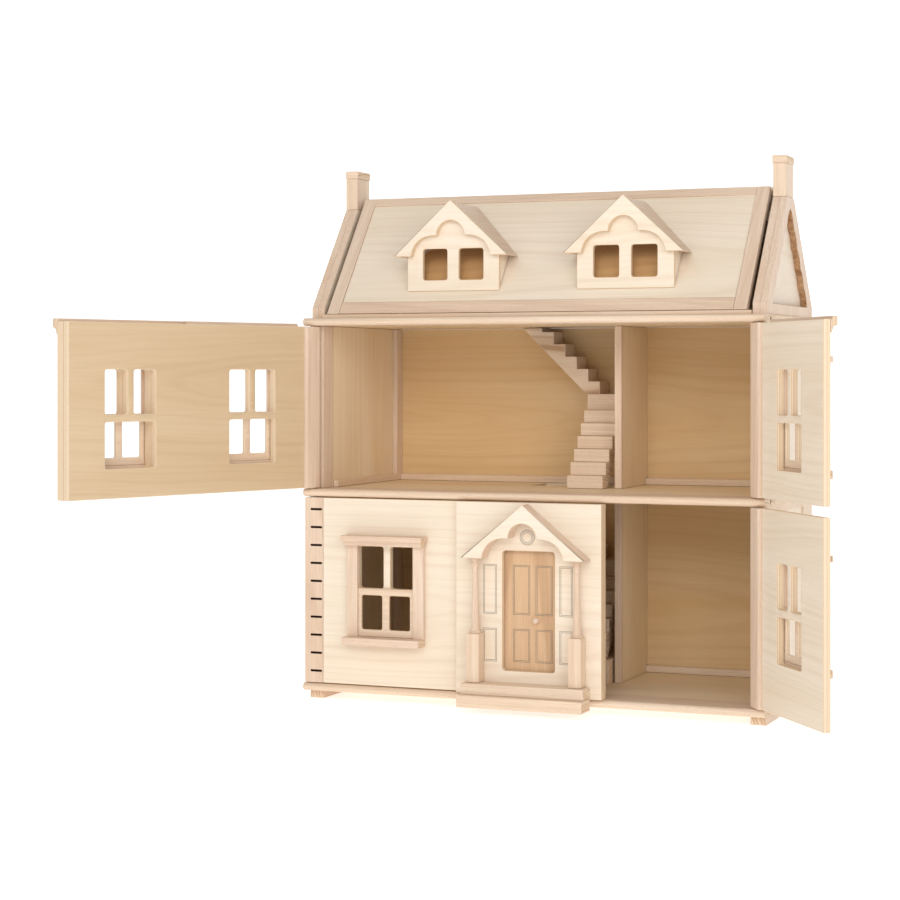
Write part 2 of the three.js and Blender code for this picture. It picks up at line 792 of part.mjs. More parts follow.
function column(name, x) {
  const back = boardFace - seat;
  const centreY = back - pedestalDepth / 2;
  const top = pedimentBase - seat;
  const foot = baseTop + stepTop + seat;
  const neck = foot + pedestalHeight;
  const half = pedestalWidth / 2;
  const profile = [
    [0, neck - 1], [columnRadius + 1.6, neck - 1], [columnRadius + 1.6, neck + 2.5],
    [columnRadius + 0.6, neck + 5], [columnRadius, neck + 8], [columnRadius - 1, top - 10],
    [columnRadius + 0.4, top - 7], [columnRadius + 0.4, top - 5], [columnRadius - 0.6, top - 4],
    [columnRadius + 0.8, top], [0, top],
  ].map(([r, z]) => new THREE.Vector2(r, z));
  const geometry = new THREE.LatheGeometry(profile, 20);
  geometry.rotateX(Math.PI / 2);
  geometry.translate(x, centreY, 0);
  const pedestal = box(x - half, x + half, back - pedestalDepth, back, foot, neck);
  return piece(name, solid(geometry).add(pedestal), rubberwood);
}

function lowerLeftFront() {
  const bottom = baseTop + lowerWindowBottom;
  const doorLeft = doorCentreX - doorWidth / 2;
  const doorRight = doorCentreX + doorWidth / 2;
  const sill = baseTop + doorSill;
  const head = sill + doorHeight;
  let sheet = panelSheet(-panelEdge, leftPanelEnd, baseTop, middleUnder);
  sheet = sheet.subtract(windowCut(houseWindowX, bottom, leftLightWidth, panelFront - 1, panelBack + 1));
  sheet = sheet.subtract(box(
    doorLeft - doorLap, doorRight + doorLap, panelFront - 1, panelBack + 1, sill - doorLap, head + doorLap,
  ));
  let board = raisedBoard(baseTop, middleUnder, boardFace, porticoThickness);
  board = board.subtract(opening(doorLeft, doorRight, boardFace - 1, panelFront, sill, head));

  const doorFront = panelFront + doorRecess;
  const doorAxisX = doorLeft - doorLap + doorGap + doorThickness / 2;
  const doorAxisY = doorFront + doorThickness / 2;
  const leafFoot = sill - doorLap + doorGap;
  const leafHead = head + doorLap - doorGap;
  sheet = sheet.subtract(rod(
    doorAxisX, doorAxisY, leafFoot - doorPinLength - seat, leafHead + doorPinLength + seat,
    doorPinRadius + seat, 12,
  ));
  const leafShape = new THREE.Shape();
  const free = doorRight + doorLap - doorGap;
  leafShape.moveTo(doorAxisX, doorFront);
  leafShape.lineTo(free, doorFront);
  leafShape.lineTo(free, doorFront + doorThickness);
  leafShape.lineTo(doorAxisX, doorFront + doorThickness);
  leafShape.absarc(doorAxisX, doorAxisY, doorThickness / 2, Math.PI / 2, Math.PI * 1.5, false);
  const leaf = alongZ(leafShape, leafFoot, leafHead, 8).add(
    rod(doorAxisX, doorAxisY, leafFoot - doorPinLength, leafHead + doorPinLength, doorPinRadius, 12),
  );

  const knobProfile = [
    [0, 0], [knobRadius * 0.5, 0], [knobRadius * 0.5, knobLength * 0.35], [knobRadius, knobLength * 0.55],
    [knobRadius, knobLength * 0.75], [knobRadius * 0.6, knobLength * 0.96], [0, knobLength],
  ].map(([r, y]) => new THREE.Vector2(r, y));
  const knob = new THREE.LatheGeometry(knobProfile, 16);
  knob.rotateZ(Math.PI);
  knob.translate(doorCentreX + knobOffset, doorFront - seat, sill + knobHeight);

  const back = boardFace - seat;
  const arch = pedimentShape(
    doorCentreX, pedimentHalf, pedimentBase, pedimentHeight, pedimentLobe, pedimentSideLobe,
  );
  const pediment = alongY(arch, back - pedimentThickness, back, 8);
  const left = doorCentreX - stepWidth / 2;
  const right = doorCentreX + stepWidth / 2;
  const upperUnder = baseTop + stepTop - upperStepHeight;
  const upperStep = box(left, right, back - upperStepDepth, back, upperUnder, baseTop + stepTop);
  const lowerStep = box(
    left - lowerStepEnd, right + lowerStepEnd, -lowerStepFront, -lowerStepFront + lowerStepDepth,
    upperUnder - lowerStepHeight, upperUnder + seat,
  );
  return hinged(-1, 0, [
    post('lower_left_post', -1, baseTop, middleUnder, true),
    piece('lower_left_panel', sheet, plywood),
    piece('portico_board', board, plywood),
    piece('portico_pediment', pediment, plywood),
    column('portico_column_left', doorCentreX - columnSpread),
    column('portico_column_right', doorCentreX + columnSpread),
    piece('portico_steps', upperStep.add(lowerStep), rubberwood),
    piece('front_door', leaf, doorWood),
    piece('door_knob', solid(knob), rubberwood),
    ...windowParts('lower_left_window', houseWindowX, bottom, leftLightWidth, panelFront),
  ]);
}

// The house put together

const house = new THREE.Group();
const runner = (name, side) => {
  const outer = side * (wallOuter + runnerProud);
  const inner = outer - side * runnerWidth;
  const block = box(
    Math.min(outer, inner), Math.max(outer, inner),
    runnerSetback, boardDepth - runnerBackMargin, 0, baseUnder - seat,
  );
  return piece(name, block, rubberwood);
};
house.add(runner('runner_left', -1), runner('runner_right', 1));
house.add(
  floorBoard('base_floor', baseUnder, false, true, false),
  floorBoard('middle_floor', middleUnder, true, true, true),
  floorBoard('attic_floor', atticUnder, true, false, true),
);
const storeys = [['lower', baseTop, middleUnder], ['upper', middleTop, atticUnder]];
for (const [storey, floor, ceiling] of storeys) {
  house.add(
    sideWall(`${storey}_side_left`, -1, floor, ceiling),
    sideWall(`${storey}_side_right`, 1, floor, ceiling),
    piece(`${storey}_back`, box(
      -wallInner + seat, wallInner - seat, backFace, wallBack, floor + seat, ceiling - seat,
    ), plywood),
    skirting(`${storey}_skirting`, floor),
    divider(`${storey}_divider`, floor, ceiling),
    stair(`${storey}_stair`, floor, ceiling),
  );
}
house.add(gable('gable_left', -1), gable('gable_right', 1));
house.add(chimney('chimney_left', -1), chimney('chimney_right', 1));
const beamTop = roofTop - roofThickness / Math.cos(slopeAngle) - beamDrop;
const sillRailFront = slopeFront(roofBottom) - sillRailProud;
house.add(
  piece('roof_sill', box(
    -wallInner + seat, wallInner - seat, sillRailFront, sillRailFront + sillRailDepth,
    atticTop + seat, atticTop + sillRailHeight,
  ), rubberwood),
  piece('ridge_beam', box(
    -wallInner + seat, wallInner - seat,
    ridgeY - beamWidth / 2, ridgeY + beamWidth / 2, beamTop - beamHeight, beamTop,
  ), rubberwood),
  backRoof('roof_back'),
);
house.add(roofFrame('roof_front_frame'), roofPly('roof_front_ply'));
house.add(...dormer('dormer_left', dormerShift - dormerSpread));
house.add(...dormer('dormer_right', dormerShift + dormerSpread));
house.add(lowerLeftFront(), upperLeftFront());
house.add(rightFront('upper', middleTop, atticUnder, upperWindowBottom, upperRightOpen, true));
house.add(rightFront('lower', baseTop, middleUnder, lowerWindowBottom, lowerRightOpen, false));

// The origin is on the ground under the middle of the whole object, fronts open as built
house.updateMatrixWorld(true);
const extent = new THREE.Box3().setFromObject(house, true);
const centre = extent.getCenter(new THREE.Vector3());
house.position.set(-centre.x, -centre.y, 0);

export default house;
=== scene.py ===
import bpy
import bmesh
import math
import random
from mathutils import Matrix, Vector


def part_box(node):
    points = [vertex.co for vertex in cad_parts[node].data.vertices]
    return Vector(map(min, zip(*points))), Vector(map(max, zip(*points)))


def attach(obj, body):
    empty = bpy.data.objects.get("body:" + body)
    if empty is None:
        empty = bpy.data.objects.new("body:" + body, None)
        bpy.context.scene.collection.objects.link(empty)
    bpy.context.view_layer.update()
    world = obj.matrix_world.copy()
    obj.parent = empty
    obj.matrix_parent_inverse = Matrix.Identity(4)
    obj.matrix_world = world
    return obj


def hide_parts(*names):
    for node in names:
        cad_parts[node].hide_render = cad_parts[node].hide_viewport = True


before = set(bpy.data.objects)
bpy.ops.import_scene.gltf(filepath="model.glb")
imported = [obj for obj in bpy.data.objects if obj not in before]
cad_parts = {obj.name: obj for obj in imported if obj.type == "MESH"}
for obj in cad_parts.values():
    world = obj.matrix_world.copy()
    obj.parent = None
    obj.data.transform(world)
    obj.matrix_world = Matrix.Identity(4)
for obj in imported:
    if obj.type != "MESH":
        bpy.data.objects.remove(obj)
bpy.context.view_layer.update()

# The house is drawn closed, in millimetres from the middle of the base board's front edge
baseLow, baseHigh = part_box("base_floor")
midX = (baseLow.x + baseHigh.x) / 2
home = Matrix.Translation((midX, baseLow.y, 0)) @ Matrix.Scale(0.001, 4)


def inHouse(node):
    low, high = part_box(node)
    back = home.inverted()
    return back @ low, back @ high


baseTop = inHouse("base_floor")[1].z
middleUnder, middleTop = (corner.z for corner in inHouse("middle_floor"))
atticUnder, atticTop = (corner.z for corner in inHouse("attic_floor"))
houseHalf = inHouse("base_floor")[1].x
houseDepth = inHouse("base_floor")[1].y
gableTop = inHouse("gable_left")[1].z
wallInner = inHouse("gable_right")[0].x
wallOuter = inHouse("gable_right")[1].x
wallBack = inHouse("lower_side_left")[1].y
wallFront = inHouse("lower_side_left")[0].y
backFace = inHouse("lower_back")[0].y
storeys = {"lower": (baseTop, middleUnder), "upper": (middleTop, atticUnder)}
hair = 0.3  # gap left between pieces that touch

# The camera stands low and to the right, with the picture shifted down
view = {"place": (917.1, -2534.1, 430.5), "turn": 21.88, "lens": 85.1, "drop": -0.0854}
cameraData = bpy.data.cameras.new("camera")
cameraData.lens = view["lens"]
cameraData.sensor_width = 36
cameraData.shift_y = view["drop"]
camera = bpy.data.objects.new("camera", cameraData)
camera.location = home @ Vector(view["place"])
camera.rotation_euler = (math.radians(90), 0, math.radians(view["turn"]))
bpy.context.collection.objects.link(camera)
bpy.context.scene.camera = camera
print("camera in place")


def addNode(tree, kind, setup=None, **inputs):
    node = tree.nodes.new(kind)
    for key, value in (setup or {}).items():
        setattr(node, key, value)
    for key, value in inputs.items():
        socket = node.inputs[int(key[1:])] if key[0] == "i" and key[1:].isdigit() else node.inputs[key]
        if isinstance(value, bpy.types.NodeSocket):
            tree.links.new(value, socket)
        else:
            socket.default_value = value
    return node


def calc(tree, operation, first, second=0.0, third=0.0):
    node = addNode(tree, "ShaderNodeMath", {"operation": operation}, i0=first, i1=second, i2=third)
    return node.outputs[0]


def rampNode(tree, factor, stops):
    node = addNode(tree, "ShaderNodeValToRGB", Fac=factor)
    ramp = node.color_ramp
    while len(ramp.elements) < len(stops):
        ramp.elements.new(0.5)
    for element, (place, colour) in zip(ramp.elements, stops):
        element.position = place
        element.color = (*colour, 1) if len(colour) == 3 else colour
    return node.outputs["Color"]


def grey(level):
    return (level, level, level)


def blendColour(tree, factor, first, second, mode="MIX"):
    node = tree.nodes.new("ShaderNodeMix")
    node.data_type = "RGBA"
    node.blend_type = mode
    for index, value in ((0, factor), (6, first), (7, second)):
        if isinstance(value, bpy.types.NodeSocket):
            tree.links.new(value, node.inputs[index])
        elif index:
            node.inputs[index].default_value = (*value, 1)
        else:
            node.inputs[index].default_value = value
    return node.outputs[2]


def stretchedNoise(tree, grain, seed, along, across, detail=3.0, rough=0.55):
    scaled = addNode(
        tree, "ShaderNodeVectorMath", {"operation": "MULTIPLY"}, i0=grain, i1=(along, across, across),
    )
    noise = addNode(
        tree, "ShaderNodeTexNoise", {"noise_dimensions": "4D"},
        Vector=scaled.outputs[0], W=seed, Scale=1.0, Detail=detail, Roughness=rough,
    )
    return noise.outputs["Fac"]


def srgb(text):
    values = [int(text[i:i + 2], 16) / 255 for i in (1, 3, 5)]
    return tuple(v / 12.92 if v <= 0.04045 else ((v + 0.055) / 1.055) ** 2.4 for v in values)


# Every piece carries its own grain coordinates: along the grain, across it, into the board
def startFinish(name):
    material = bpy.data.materials.new(name)
    material.use_nodes = True
    tree = material.node_tree
    shader = tree.nodes["Principled BSDF"]
    grain = addNode(tree, "ShaderNodeAttribute", {"attribute_name": "grain"}).outputs["Vector"]
    seed = addNode(tree, "ShaderNodeAttribute", {"attribute_name": "pieceSeed"}).outputs["Fac"]
    return material, tree, shader, grain, seed


def ringDistance(tree, grain, seed, look):
    parts = addNode(tree, "ShaderNodeSeparateXYZ", Vector=grain)
    bend = stretchedNoise(tree, grain, seed, look["bendAlong"], look["bendAcross"], 2.0)
    bend = calc(tree, "MULTIPLY_ADD", bend, look["bend"], -look["bend"] / 2)
    shift = calc(tree, "MULTIPLY_ADD", seed, look["shift"], -look["shift"] * 5)
    side = calc(tree, "ADD", calc(tree, "ADD", parts.outputs[1], shift), bend)
    deep = calc(tree, "MULTIPLY_ADD", parts.outputs[0], look["taper"], look["heart"])
    deep = calc(tree, "ADD", deep, parts.outputs[2])
    return calc(
        tree, "SQRT",
        calc(tree, "ADD", calc(tree, "MULTIPLY", side, side), calc(tree, "MULTIPLY", deep, deep)),
    )


def ringNoise(tree, grain, seed, look, rough=0.5):
    distance = ringDistance(tree, grain, seed, look)
    place = calc(tree, "MULTIPLY_ADD", distance, look["rings"], seed)
    settings = {"noise_dimensions": "1D"}
    noise = addNode(tree, "ShaderNodeTexNoise", settings, W=place, Scale=1.0, Detail=2.0, Roughness=rough)
    return noise.outputs["Fac"]


# Each noise: how fast it changes along the grain and across it, its detail and its roughness
weave = {
    "tone": (2.5, 14.0, 2.0), "fibre": (22.0, 1500.0, 3.0, 0.65), "streak": (5.0, 260.0, 3.0, 0.6),
    "pores": (170.0, 2600.0, 1.0, 0.5), "plyWaver": (40.0, 40.0, 2.0),
    "plySpeck": (700.0, 700.0, 3.0, 0.7),
    "endSpeck": (20.0, 1600.0, 3.0, 0.7),
}


# Lays a deeper tone over a colour where a noise runs low
def deepened(tree, colour, noise, low, high, depth, deep):
    level = rampNode(tree, noise, ((low, grey(1)), (high, grey(0))))
    return blendColour(tree, calc(tree, "MULTIPLY", level, depth), colour, deep)


def dress(tree, shader, colour, height, relief, depth=0.0003):
    tree.links.new(colour, shader.inputs["Base Color"])
    bump = addNode(tree, "ShaderNodeBump", Height=height, Strength=relief, Distance=depth)
    tree.links.new(bump.outputs["Normal"], shader.inputs["Normal"])


def makeWood(name, look):
    material, tree, shader, grain, seed = startFinish(name)
    rings = ringNoise(tree, grain, seed, look, 0.6)
    rings = rampNode(tree, rings, ((0.36, grey(0)), (0.52, grey(0.35)), (0.66, grey(1))))
    kinds = ("tone", "fibre", "streak", "pores")
    tone, fibre, streak, pores = (stretchedNoise(tree, grain, seed, *weave[kind]) for kind in kinds)
    pores = rampNode(tree, pores, ((look["poreStart"], grey(0)), (look["poreStart"] + 0.08, grey(1))))
    pale, warm, deep = (srgb(colour) for colour in look["colours"])
    colour = rampNode(tree, tone, ((0.3, pale), (0.7, warm)))
    colour = blendColour(tree, calc(tree, "MULTIPLY", rings, look["ringDepth"]), colour, deep)
    colour = deepened(tree, colour, streak, 0.38, 0.68, look["streakDepth"], deep)
    colour = deepened(tree, colour, fibre, 0.35, 0.6, look["fibreDepth"], deep)
    colour = blendColour(
        tree, calc(tree, "MULTIPLY", pores, look["poreDepth"]), colour, srgb(look["poreColour"]),
    )
    swing = 0.22  # how far the fibres carry the roughness up and down
    rough = calc(tree, "MULTIPLY_ADD", fibre, swing, look["roughness"] - swing / 2)
    tree.links.new(rough, shader.inputs["Roughness"])
    dress(
        tree, shader, colour, calc(tree, "SUBTRACT", fibre, calc(tree, "MULTIPLY", pores, 0.6)),
        look["relief"],
    )
    shader.inputs["Specular IOR Level"].default_value = 0.35
    return material


# Cut edges of plywood: the plies run across the thickness
def makePlyEdge(name, look):
    material, tree, shader, grain, seed = startFinish(name)
    parts = addNode(tree, "ShaderNodeSeparateXYZ", Vector=grain)
    waver = calc(tree, "MULTIPLY", stretchedNoise(tree, grain, seed, *weave["plyWaver"]), 0.8)
    layer = calc(tree, "MULTIPLY_ADD", parts.outputs[2], look["pliesPerMetre"] * math.pi, waver)
    layer = calc(tree, "MULTIPLY_ADD", calc(tree, "SINE", layer), 0.5, 0.5)
    pale, warm, deep = (srgb(colour) for colour in look["colours"])
    colour = rampNode(tree, layer, ((0.3, pale), (0.6, warm), (0.95, deep)))
    speck = stretchedNoise(tree, grain, seed, *weave["plySpeck"])
    colour = deepened(tree, colour, speck, 0.35, 0.6, look["speckDepth"], deep)
    dress(tree, shader, colour, speck, 0.25)
    shader.inputs["Roughness"].default_value = 0.72
    return material


# End grain of solid pieces, with open pores
def makeEndGrain(name, look):
    material, tree, shader, grain, seed = startFinish(name)
    rings = ringNoise(tree, grain, seed, look)
    pale, warm, deep = (srgb(colour) for colour in look["colours"])
    colour = rampNode(tree, rings, ((0.35, pale), (0.5, warm), (0.68, deep)))
    speck = stretchedNoise(tree, grain, seed, *weave["endSpeck"])
    colour = deepened(tree, colour, speck, 0.3, 0.5, look["speckDepth"], deep)
    dress(tree, shader, colour, speck, 0.3)
    shader.inputs["Roughness"].default_value = 0.75
    return material


# Scorched cuts, slots and holes darkened with char and painted shade, and printed lines
def makeMark(name, look):
    material, tree, shader, grain, seed = startFinish(name)
    patch = stretchedNoise(tree, grain, seed, look["patch"], look["patch"], 3.0, 0.6)
    light, dark = (srgb(colour) for colour in look["colours"])
    dress(tree, shader, rampNode(tree, patch, ((0.35, dark), (0.65, light))), patch, 0.2, 0.0002)
    shader.inputs["Roughness"].default_value = look["roughness"]
    return material


straight = {
    "bendAlong": 3.0, "bendAcross": 12.0, "bend": 0.012, "shift": 0.012, "taper": 0.02, "heart": 0.16,
    "rings": 330.0,
    "colours": ("#F0E0CC", "#E7D0B6", "#BC9270"), "ringDepth": 0.2, "streakDepth": 0.2, "fibreDepth": 0.2,
    "poreStart": 0.64, "poreDepth": 0.5, "poreColour": "#AE8766", "roughness": 0.5, "relief": 0.14,
}
cathedral = {
    "bendAlong": 2.4, "bendAcross": 5.0, "bend": 0.04, "shift": 0.014, "taper": 0.07, "heart": 0.03,
    "rings": 130.0,
    "colours": ("#F1E5D5", "#EADCC7", "#C9A884"), "ringDepth": 0.17, "streakDepth": 0.07,
    "fibreDepth": 0.1,
    "poreStart": 0.66, "poreDepth": 0.2, "poreColour": "#C9A684", "roughness": 0.5, "relief": 0.08,
}
finishes = {
    "rubberwood": makeWood("rubberwood", straight),
    "rubberwoodPink": makeWood(
        "rubberwoodPink", {**straight, "colours": ("#EEDCC9", "#E3C9B0", "#B58D6E")},
    ),
    "plyFace": makeWood("plyFace", cathedral),
    # inside ply, warmer and yellower than the outer ply: partly a different veneer, partly painted warm
    # light bounced round the rooms
    "plyInside": makeWood(
        "plyInside", {**cathedral, "colours": ("#F3E3C8", "#EAD3B0", "#C69F70"), "ringDepth": 0.14},
    ),
    # darker ply for the room side of the upper left front: painted shade for a face turned away from the
    # light
    "plyWarm": makeWood(
        "plyWarm", {**cathedral, "colours": ("#DCC6A6", "#D2B894", "#B08B62"), "ringDepth": 0.14},
    ),
    # back walls inside the rooms: partly a warmer veneer, partly painted shade and bounced light deep in
    # the rooms
    "plyRoom": makeWood(
        "plyRoom", {**cathedral, "colours": ("#E8CDA2", "#DDBA86", "#B68650"), "ringDepth": 0.14},
    ),
    # darker, warmer ply whose colour is painted shade: the slope seen in shadow behind the dormer lights
    "plyShade": makeWood("plyShade", {**cathedral, "colours": ("#D9AE7C", "#CE9F6A", "#B07F4C")}),
    "doorVeneer": makeWood("doorVeneer", {
        **straight, "colours": ("#E3C7A6", "#D8B48E", "#A57A54"), "bend": 0.02, "rings": 190.0,
        "ringDepth": 0.36,
    }),
    "plyEdge": makePlyEdge("plyEdge", {
        "pliesPerMetre": 1110.0, "colours": ("#EEDDC4", "#E5CEAE", "#CBA982"), "speckDepth": 0.25,
    }),
    "sawnEnd": makeEndGrain("sawnEnd", {
        **straight, "colours": ("#E8D5BE", "#DDC3A6", "#BE9C7C"), "speckDepth": 0.35,
    }),
    "scorchedCut": makeMark(
        "scorchedCut", {"patch": 160.0, "colours": ("#C09A74", "#8E6440"), "roughness": 0.8},
    ),
    # near black: on the post's slot sides partly char, elsewhere painted shade for the depth of slots and
    # bolt holes
    "darkSlot": makeMark(
        "darkSlot", {"patch": 260.0, "colours": ("#45200F", "#240D05"), "roughness": 0.85},
    ),
    "printedLine": makeMark(
        "printedLine", {"patch": 900.0, "colours": ("#7E776C", "#5D574F"), "roughness": 0.6},
    ),
    "pinSteel": makeMark(
        "pinSteel", {"patch": 500.0, "colours": ("#B9B6B0", "#8F8C88"), "roughness": 0.35},
    ),
}
finishes["pinSteel"].node_tree.nodes["Principled BSDF"].inputs["Metallic"].default_value = 1.0
plies = ("plyFace", "plyInside", "plyWarm", "plyRoom", "plyShade")
ends = {name: "plyEdge" for name in (*plies, "doorVeneer")}
print("finishes ready")


def area(points):
    return sum(a[0] * b[1] - b[0] * a[1] for a, b in zip(points, points[1:] + points[:1])) / 2


def bezier(start, control, end, t):
    return tuple(Vector(start) * (1 - t) ** 2 + Vector(control) * 2 * t * (1 - t) + Vector(end) * t ** 2)


# Rounds every corner that turns sharply
def softened(points, radius=0.7, steps=3):
    nearlyStraight = math.radians(28)
    made = []
    count = len(points)
    for i in range(count):
        before, here, after = (Vector(points[(i + k) % count]) for k in (-1, 0, 1))
        into, out = before - here, after - here
        if min(into.length, out.length) < 1e-6 or abs(into.angle(out) - math.pi) < nearlyStraight:
            made.append(tuple(here))
            continue
        reach = min(radius, into.length * 0.45, out.length * 0.45)
        start, end = here + into.normalized() * reach, here + out.normalized() * reach
        made += [bezier(start, here, end, step / steps) for step in range(steps + 1)]
    return made


def rectangle(u0, u1, v0, v1):
    return [(u0, v0), (u1, v0), (u1, v1), (u0, v1)]


def rounded(u0, u1, v0, v1, radius=4.0):
    return softened(rectangle(u0, u1, v0, v1), radius, 6)


def arcPoints(u, v, radius, start, end, steps):
    turns = (math.radians(start + (end - start) * k / steps) for k in range(steps + 1))
    return [(u + radius * math.cos(t), v + radius * math.sin(t)) for t in turns]


def curvePoints(start, control, end, steps=8):
    return [bezier(start, control, end, k / steps) for k in range(1, steps + 1)]


toSpace = {
    "x": lambda u, v, w: (w, u, v),
    "y": lambda u, v, w: (u, w, v),
    "z": lambda u, v, w: (u, v, w),
}


def insetLoop(points, inset):
    made = []
    for i, here in enumerate(points):
        before, after = Vector(points[i - 1]), Vector(points[(i + 1) % len(points)])
        one, two = (Vector(here) - before).normalized(), (after - Vector(here)).normalized()
        left, right = Vector((-one.y, one.x)), Vector((-two.y, two.x))
        made.append(Vector(here) + (left + right) * (inset / max(0.3, 1 + left.dot(right))))
    return made


# An outline with holes carried from w0 to w1, its arrises eased. Face mark 0 is an end, 1 a side, 2 a
# hole's side
def extrude(outline, facing, w0, w1, holes=(), ease=0.6, easeFar=None):
    easeFar = ease if easeFar is None else easeFar
    knee = 0.3  # share of the ease at which the arris bends
    layers = [(w0, ease), (w0 + ease * knee, ease * knee), (w0 + ease, 0)] if ease else [(w0, 0)]
    layers += [
        (w1 - easeFar, 0), (w1 - easeFar * knee, easeFar * knee), (w1, easeFar),
    ] if easeFar else [(w1, 0)]
    solid = bmesh.new()
    mark = solid.faces.layers.int.new("mark")
    ends = [[], []]
    for index, loop in enumerate([outline, *holes]):
        points = [p for i, p in enumerate(loop) if (Vector(p) - Vector(loop[i - 1])).length > 1e-4]
        if (area(points) > 0) != (index == 0):
            points.reverse()
        rows = []
        for w, inset in layers:
            rows.append(
                [solid.verts.new(toSpace[facing](p[0], p[1], w)) for p in insetLoop(points, inset)]
            )
        for lower, upper in zip(rows, rows[1:]):
            for i in range(len(points)):
                face = solid.faces.new((lower[i - 1], lower[i], upper[i], upper[i - 1]))
                face[mark] = 2 if index else 1
        ends[0].append(rows[0])
        ends[1].append(rows[-1])
    for rows in ends:
        edges = [solid.edges.get((row[i - 1], row[i])) for row in rows for i in range(len(row))]
        filled = bmesh.ops.triangle_fill(solid, use_beauty=True, use_dissolve=False, edges=edges)
        for face in filled["geom"]:
            if isinstance(face, bmesh.types.BMFace):
                face[mark] = 0
    bmesh.ops.recalc_face_normals(solid, faces=solid.faces)
    return solid


# A straight stick or board with every arris eased; it is drawn along its grain
def block(x0, x1, y0, y1, z0, z1, along="x", ease=0.7):
    spans = {"x": (y0, y1, z0, z1, x0, x1), "y": (x0, x1, z0, z1, y0, y1), "z": (x0, x1, y0, y1, z0, z1)}
    u0, u1, v0, v1, w0, w1 = spans[along]
    return extrude(softened(rectangle(u0, u1, v0, v1), ease), along, w0, w1, ease=ease)


def turned(profile, x, y, z, axis="z", sides=40):
    solid = bmesh.new()
    rows = []
    for radius, rise in profile:
        if radius < 1e-6:
            spots = [(0.0, 0.0)]
        else:
            angles = (2 * math.pi * k / sides for k in range(sides))
            spots = [(radius * math.cos(a), radius * math.sin(a)) for a in angles]
        if axis == "z":
            places = [(x + a, y + b, z + rise) for a, b in spots]
        else:
            places = [(x + a, y - rise, z + b) for a, b in spots]
        rows.append([solid.verts.new(place) for place in places])
    for lower, upper in zip(rows, rows[1:]):
        for k in range(sides):
            ring = [
                row[(k + j) % len(row)] for row, j in ((lower, -1), (lower, 0), (upper, 0), (upper, -1))
            ]
            corners = list(dict.fromkeys(ring))
            if len(corners) > 2:
                solid.faces.new(corners)
    bmesh.ops.recalc_face_normals(solid, faces=solid.faces)
    return solid


# Curves shade smoothly, and a broad face stays flat up to the facets beside it
def easeEdges(solid):
    for edge in solid.edges:
        areas = sorted(face.calc_area() for face in edge.link_faces)
        even = len(areas) == 2 and areas[1] < 12 * max(areas[0], 1e-6)
        edge.smooth = even and edge.calc_face_angle(4) < math.radians(26)


axisOf = {"x": 0, "y": 1, "z": 2}


# Turns a solid into a piece: grain gives the axes along the grain, across it and into the board
def piece(name, solid, body, finish, grain, place=None, cut="ends", cutFinish=None, standsFor=None):
    order = [axisOf[letter] for letter in grain]
    lows = [min(vert.co[k] for vert in solid.verts) for k in range(3)]
    highs = [max(vert.co[k] for vert in solid.verts) for k in range(3)]
    middle = [(low + high) / 2 for low, high in zip(lows, highs)]
    seed = random.Random(name).uniform(0, 10)
    mark = solid.faces.layers.int.get("mark")
    endMarks = {"ends": (0,), "sides": (1, 2), "holes": (2,), "none": ()}[cut]
    cutFaces = [bool(mark) and face[mark] in endMarks for face in solid.faces]
    easeEdges(solid)
    mesh = bpy.data.meshes.new(name)
    solid.to_mesh(mesh)
    solid.free()
    along = [(vert.co[k] - middle[k]) / 1000 for vert in mesh.vertices for k in order]
    mesh.attributes.new("grain", "FLOAT_VECTOR", "POINT").data.foreach_set("vector", along)
    mesh.attributes.new("pieceSeed", "FLOAT", "POINT").data.foreach_set(
        "value", [seed] * len(mesh.vertices),
    )
    mesh.materials.append(finishes[finish])
    mesh.materials.append(finishes[cutFinish or ends.get(finish, "sawnEnd")])
    for face, isCut in zip(mesh.polygons, cutFaces):
        face.material_index = int(isCut)
        face.use_smooth = True
    mesh.transform(home @ (place or Matrix.Identity(4)))
    made = bpy.data.objects.new(name, mesh)
    bpy.context.collection.objects.link(made)
    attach(made, body)
    if standsFor:
        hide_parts(standsFor)


def boxOf(node):
    low, high = inHouse(node)
    return low.x, high.x, low.y, high.y, low.z, high.z


lengthways = {"x": "xyz", "y": "yzx", "z": "zyx"}
flatways = {"x": "zyx", "y": "xzy", "z": "xyz"}


# A solid stick of the carcass, given by the ends of its box
def stick(name, box, along, finish, node, ease=0.7):
    piece(name, block(*box, along, ease), "carcass", finish, lengthways[along], standsFor=node)


# A flat sheet; its sides show the cut edge
def sheet(
    name, outline, facing, w0, w1, finish, body, node, place=None, holes=(), ease=0.6, easeFar=None,
    cut=None,
):
    solid = extrude(outline, facing, w0, w1, holes, ease, easeFar)
    piece(name, solid, body, finish, flatways[facing], place, "sides", cut, node)


boards = {
    "strip": 57, "nose": 5, "holeLeft": -62, "holeRight": 66, "holeFront": 190, "holeBack": 262,
    "boltHole": 2.4, "boltMark": 0.06, "boltPlaces": (33, 246),
}


# A floor: a nosed solid strip in front and plywood behind it, with the stair hole
def floorBoard(name, z0, z1, hasHole):
    strip, nose = boards["strip"], boards["nose"]
    middle = (z0 + z1) / 2
    profile = [(strip, z0), (strip, z1), (nose, z1)] + arcPoints(nose, middle, nose, 90, 270, 14)[1:]
    front = extrude(profile, "x", -houseHalf, houseHalf, ease=0.6)
    piece(name + "Strip", front, "carcass", "rubberwood", "xyz", standsFor=name)
    holes = []
    if hasHole:
        holes.append(
            rounded(boards["holeLeft"], boards["holeRight"], boards["holeFront"], boards["holeBack"], 3)
        )
    outline = rectangle(-houseHalf, houseHalf, strip + 0.1, houseDepth)
    sheet(
        name + "Ply", outline, "z", z0 + 0.05, z1 - 0.05, "plyInside", "carcass", name, None, holes, 0.5,
    )


floorBoard("base_floor", baseTop - 10, baseTop, False)
floorBoard("middle_floor", middleUnder, middleTop, True)
floorBoard("attic_floor", atticUnder, atticTop, True)

for side in ("left", "right"):
    node = "runner_" + side
    stick(node + "Bar", boxOf(node), "y", "rubberwoodPink", node, 0.8)

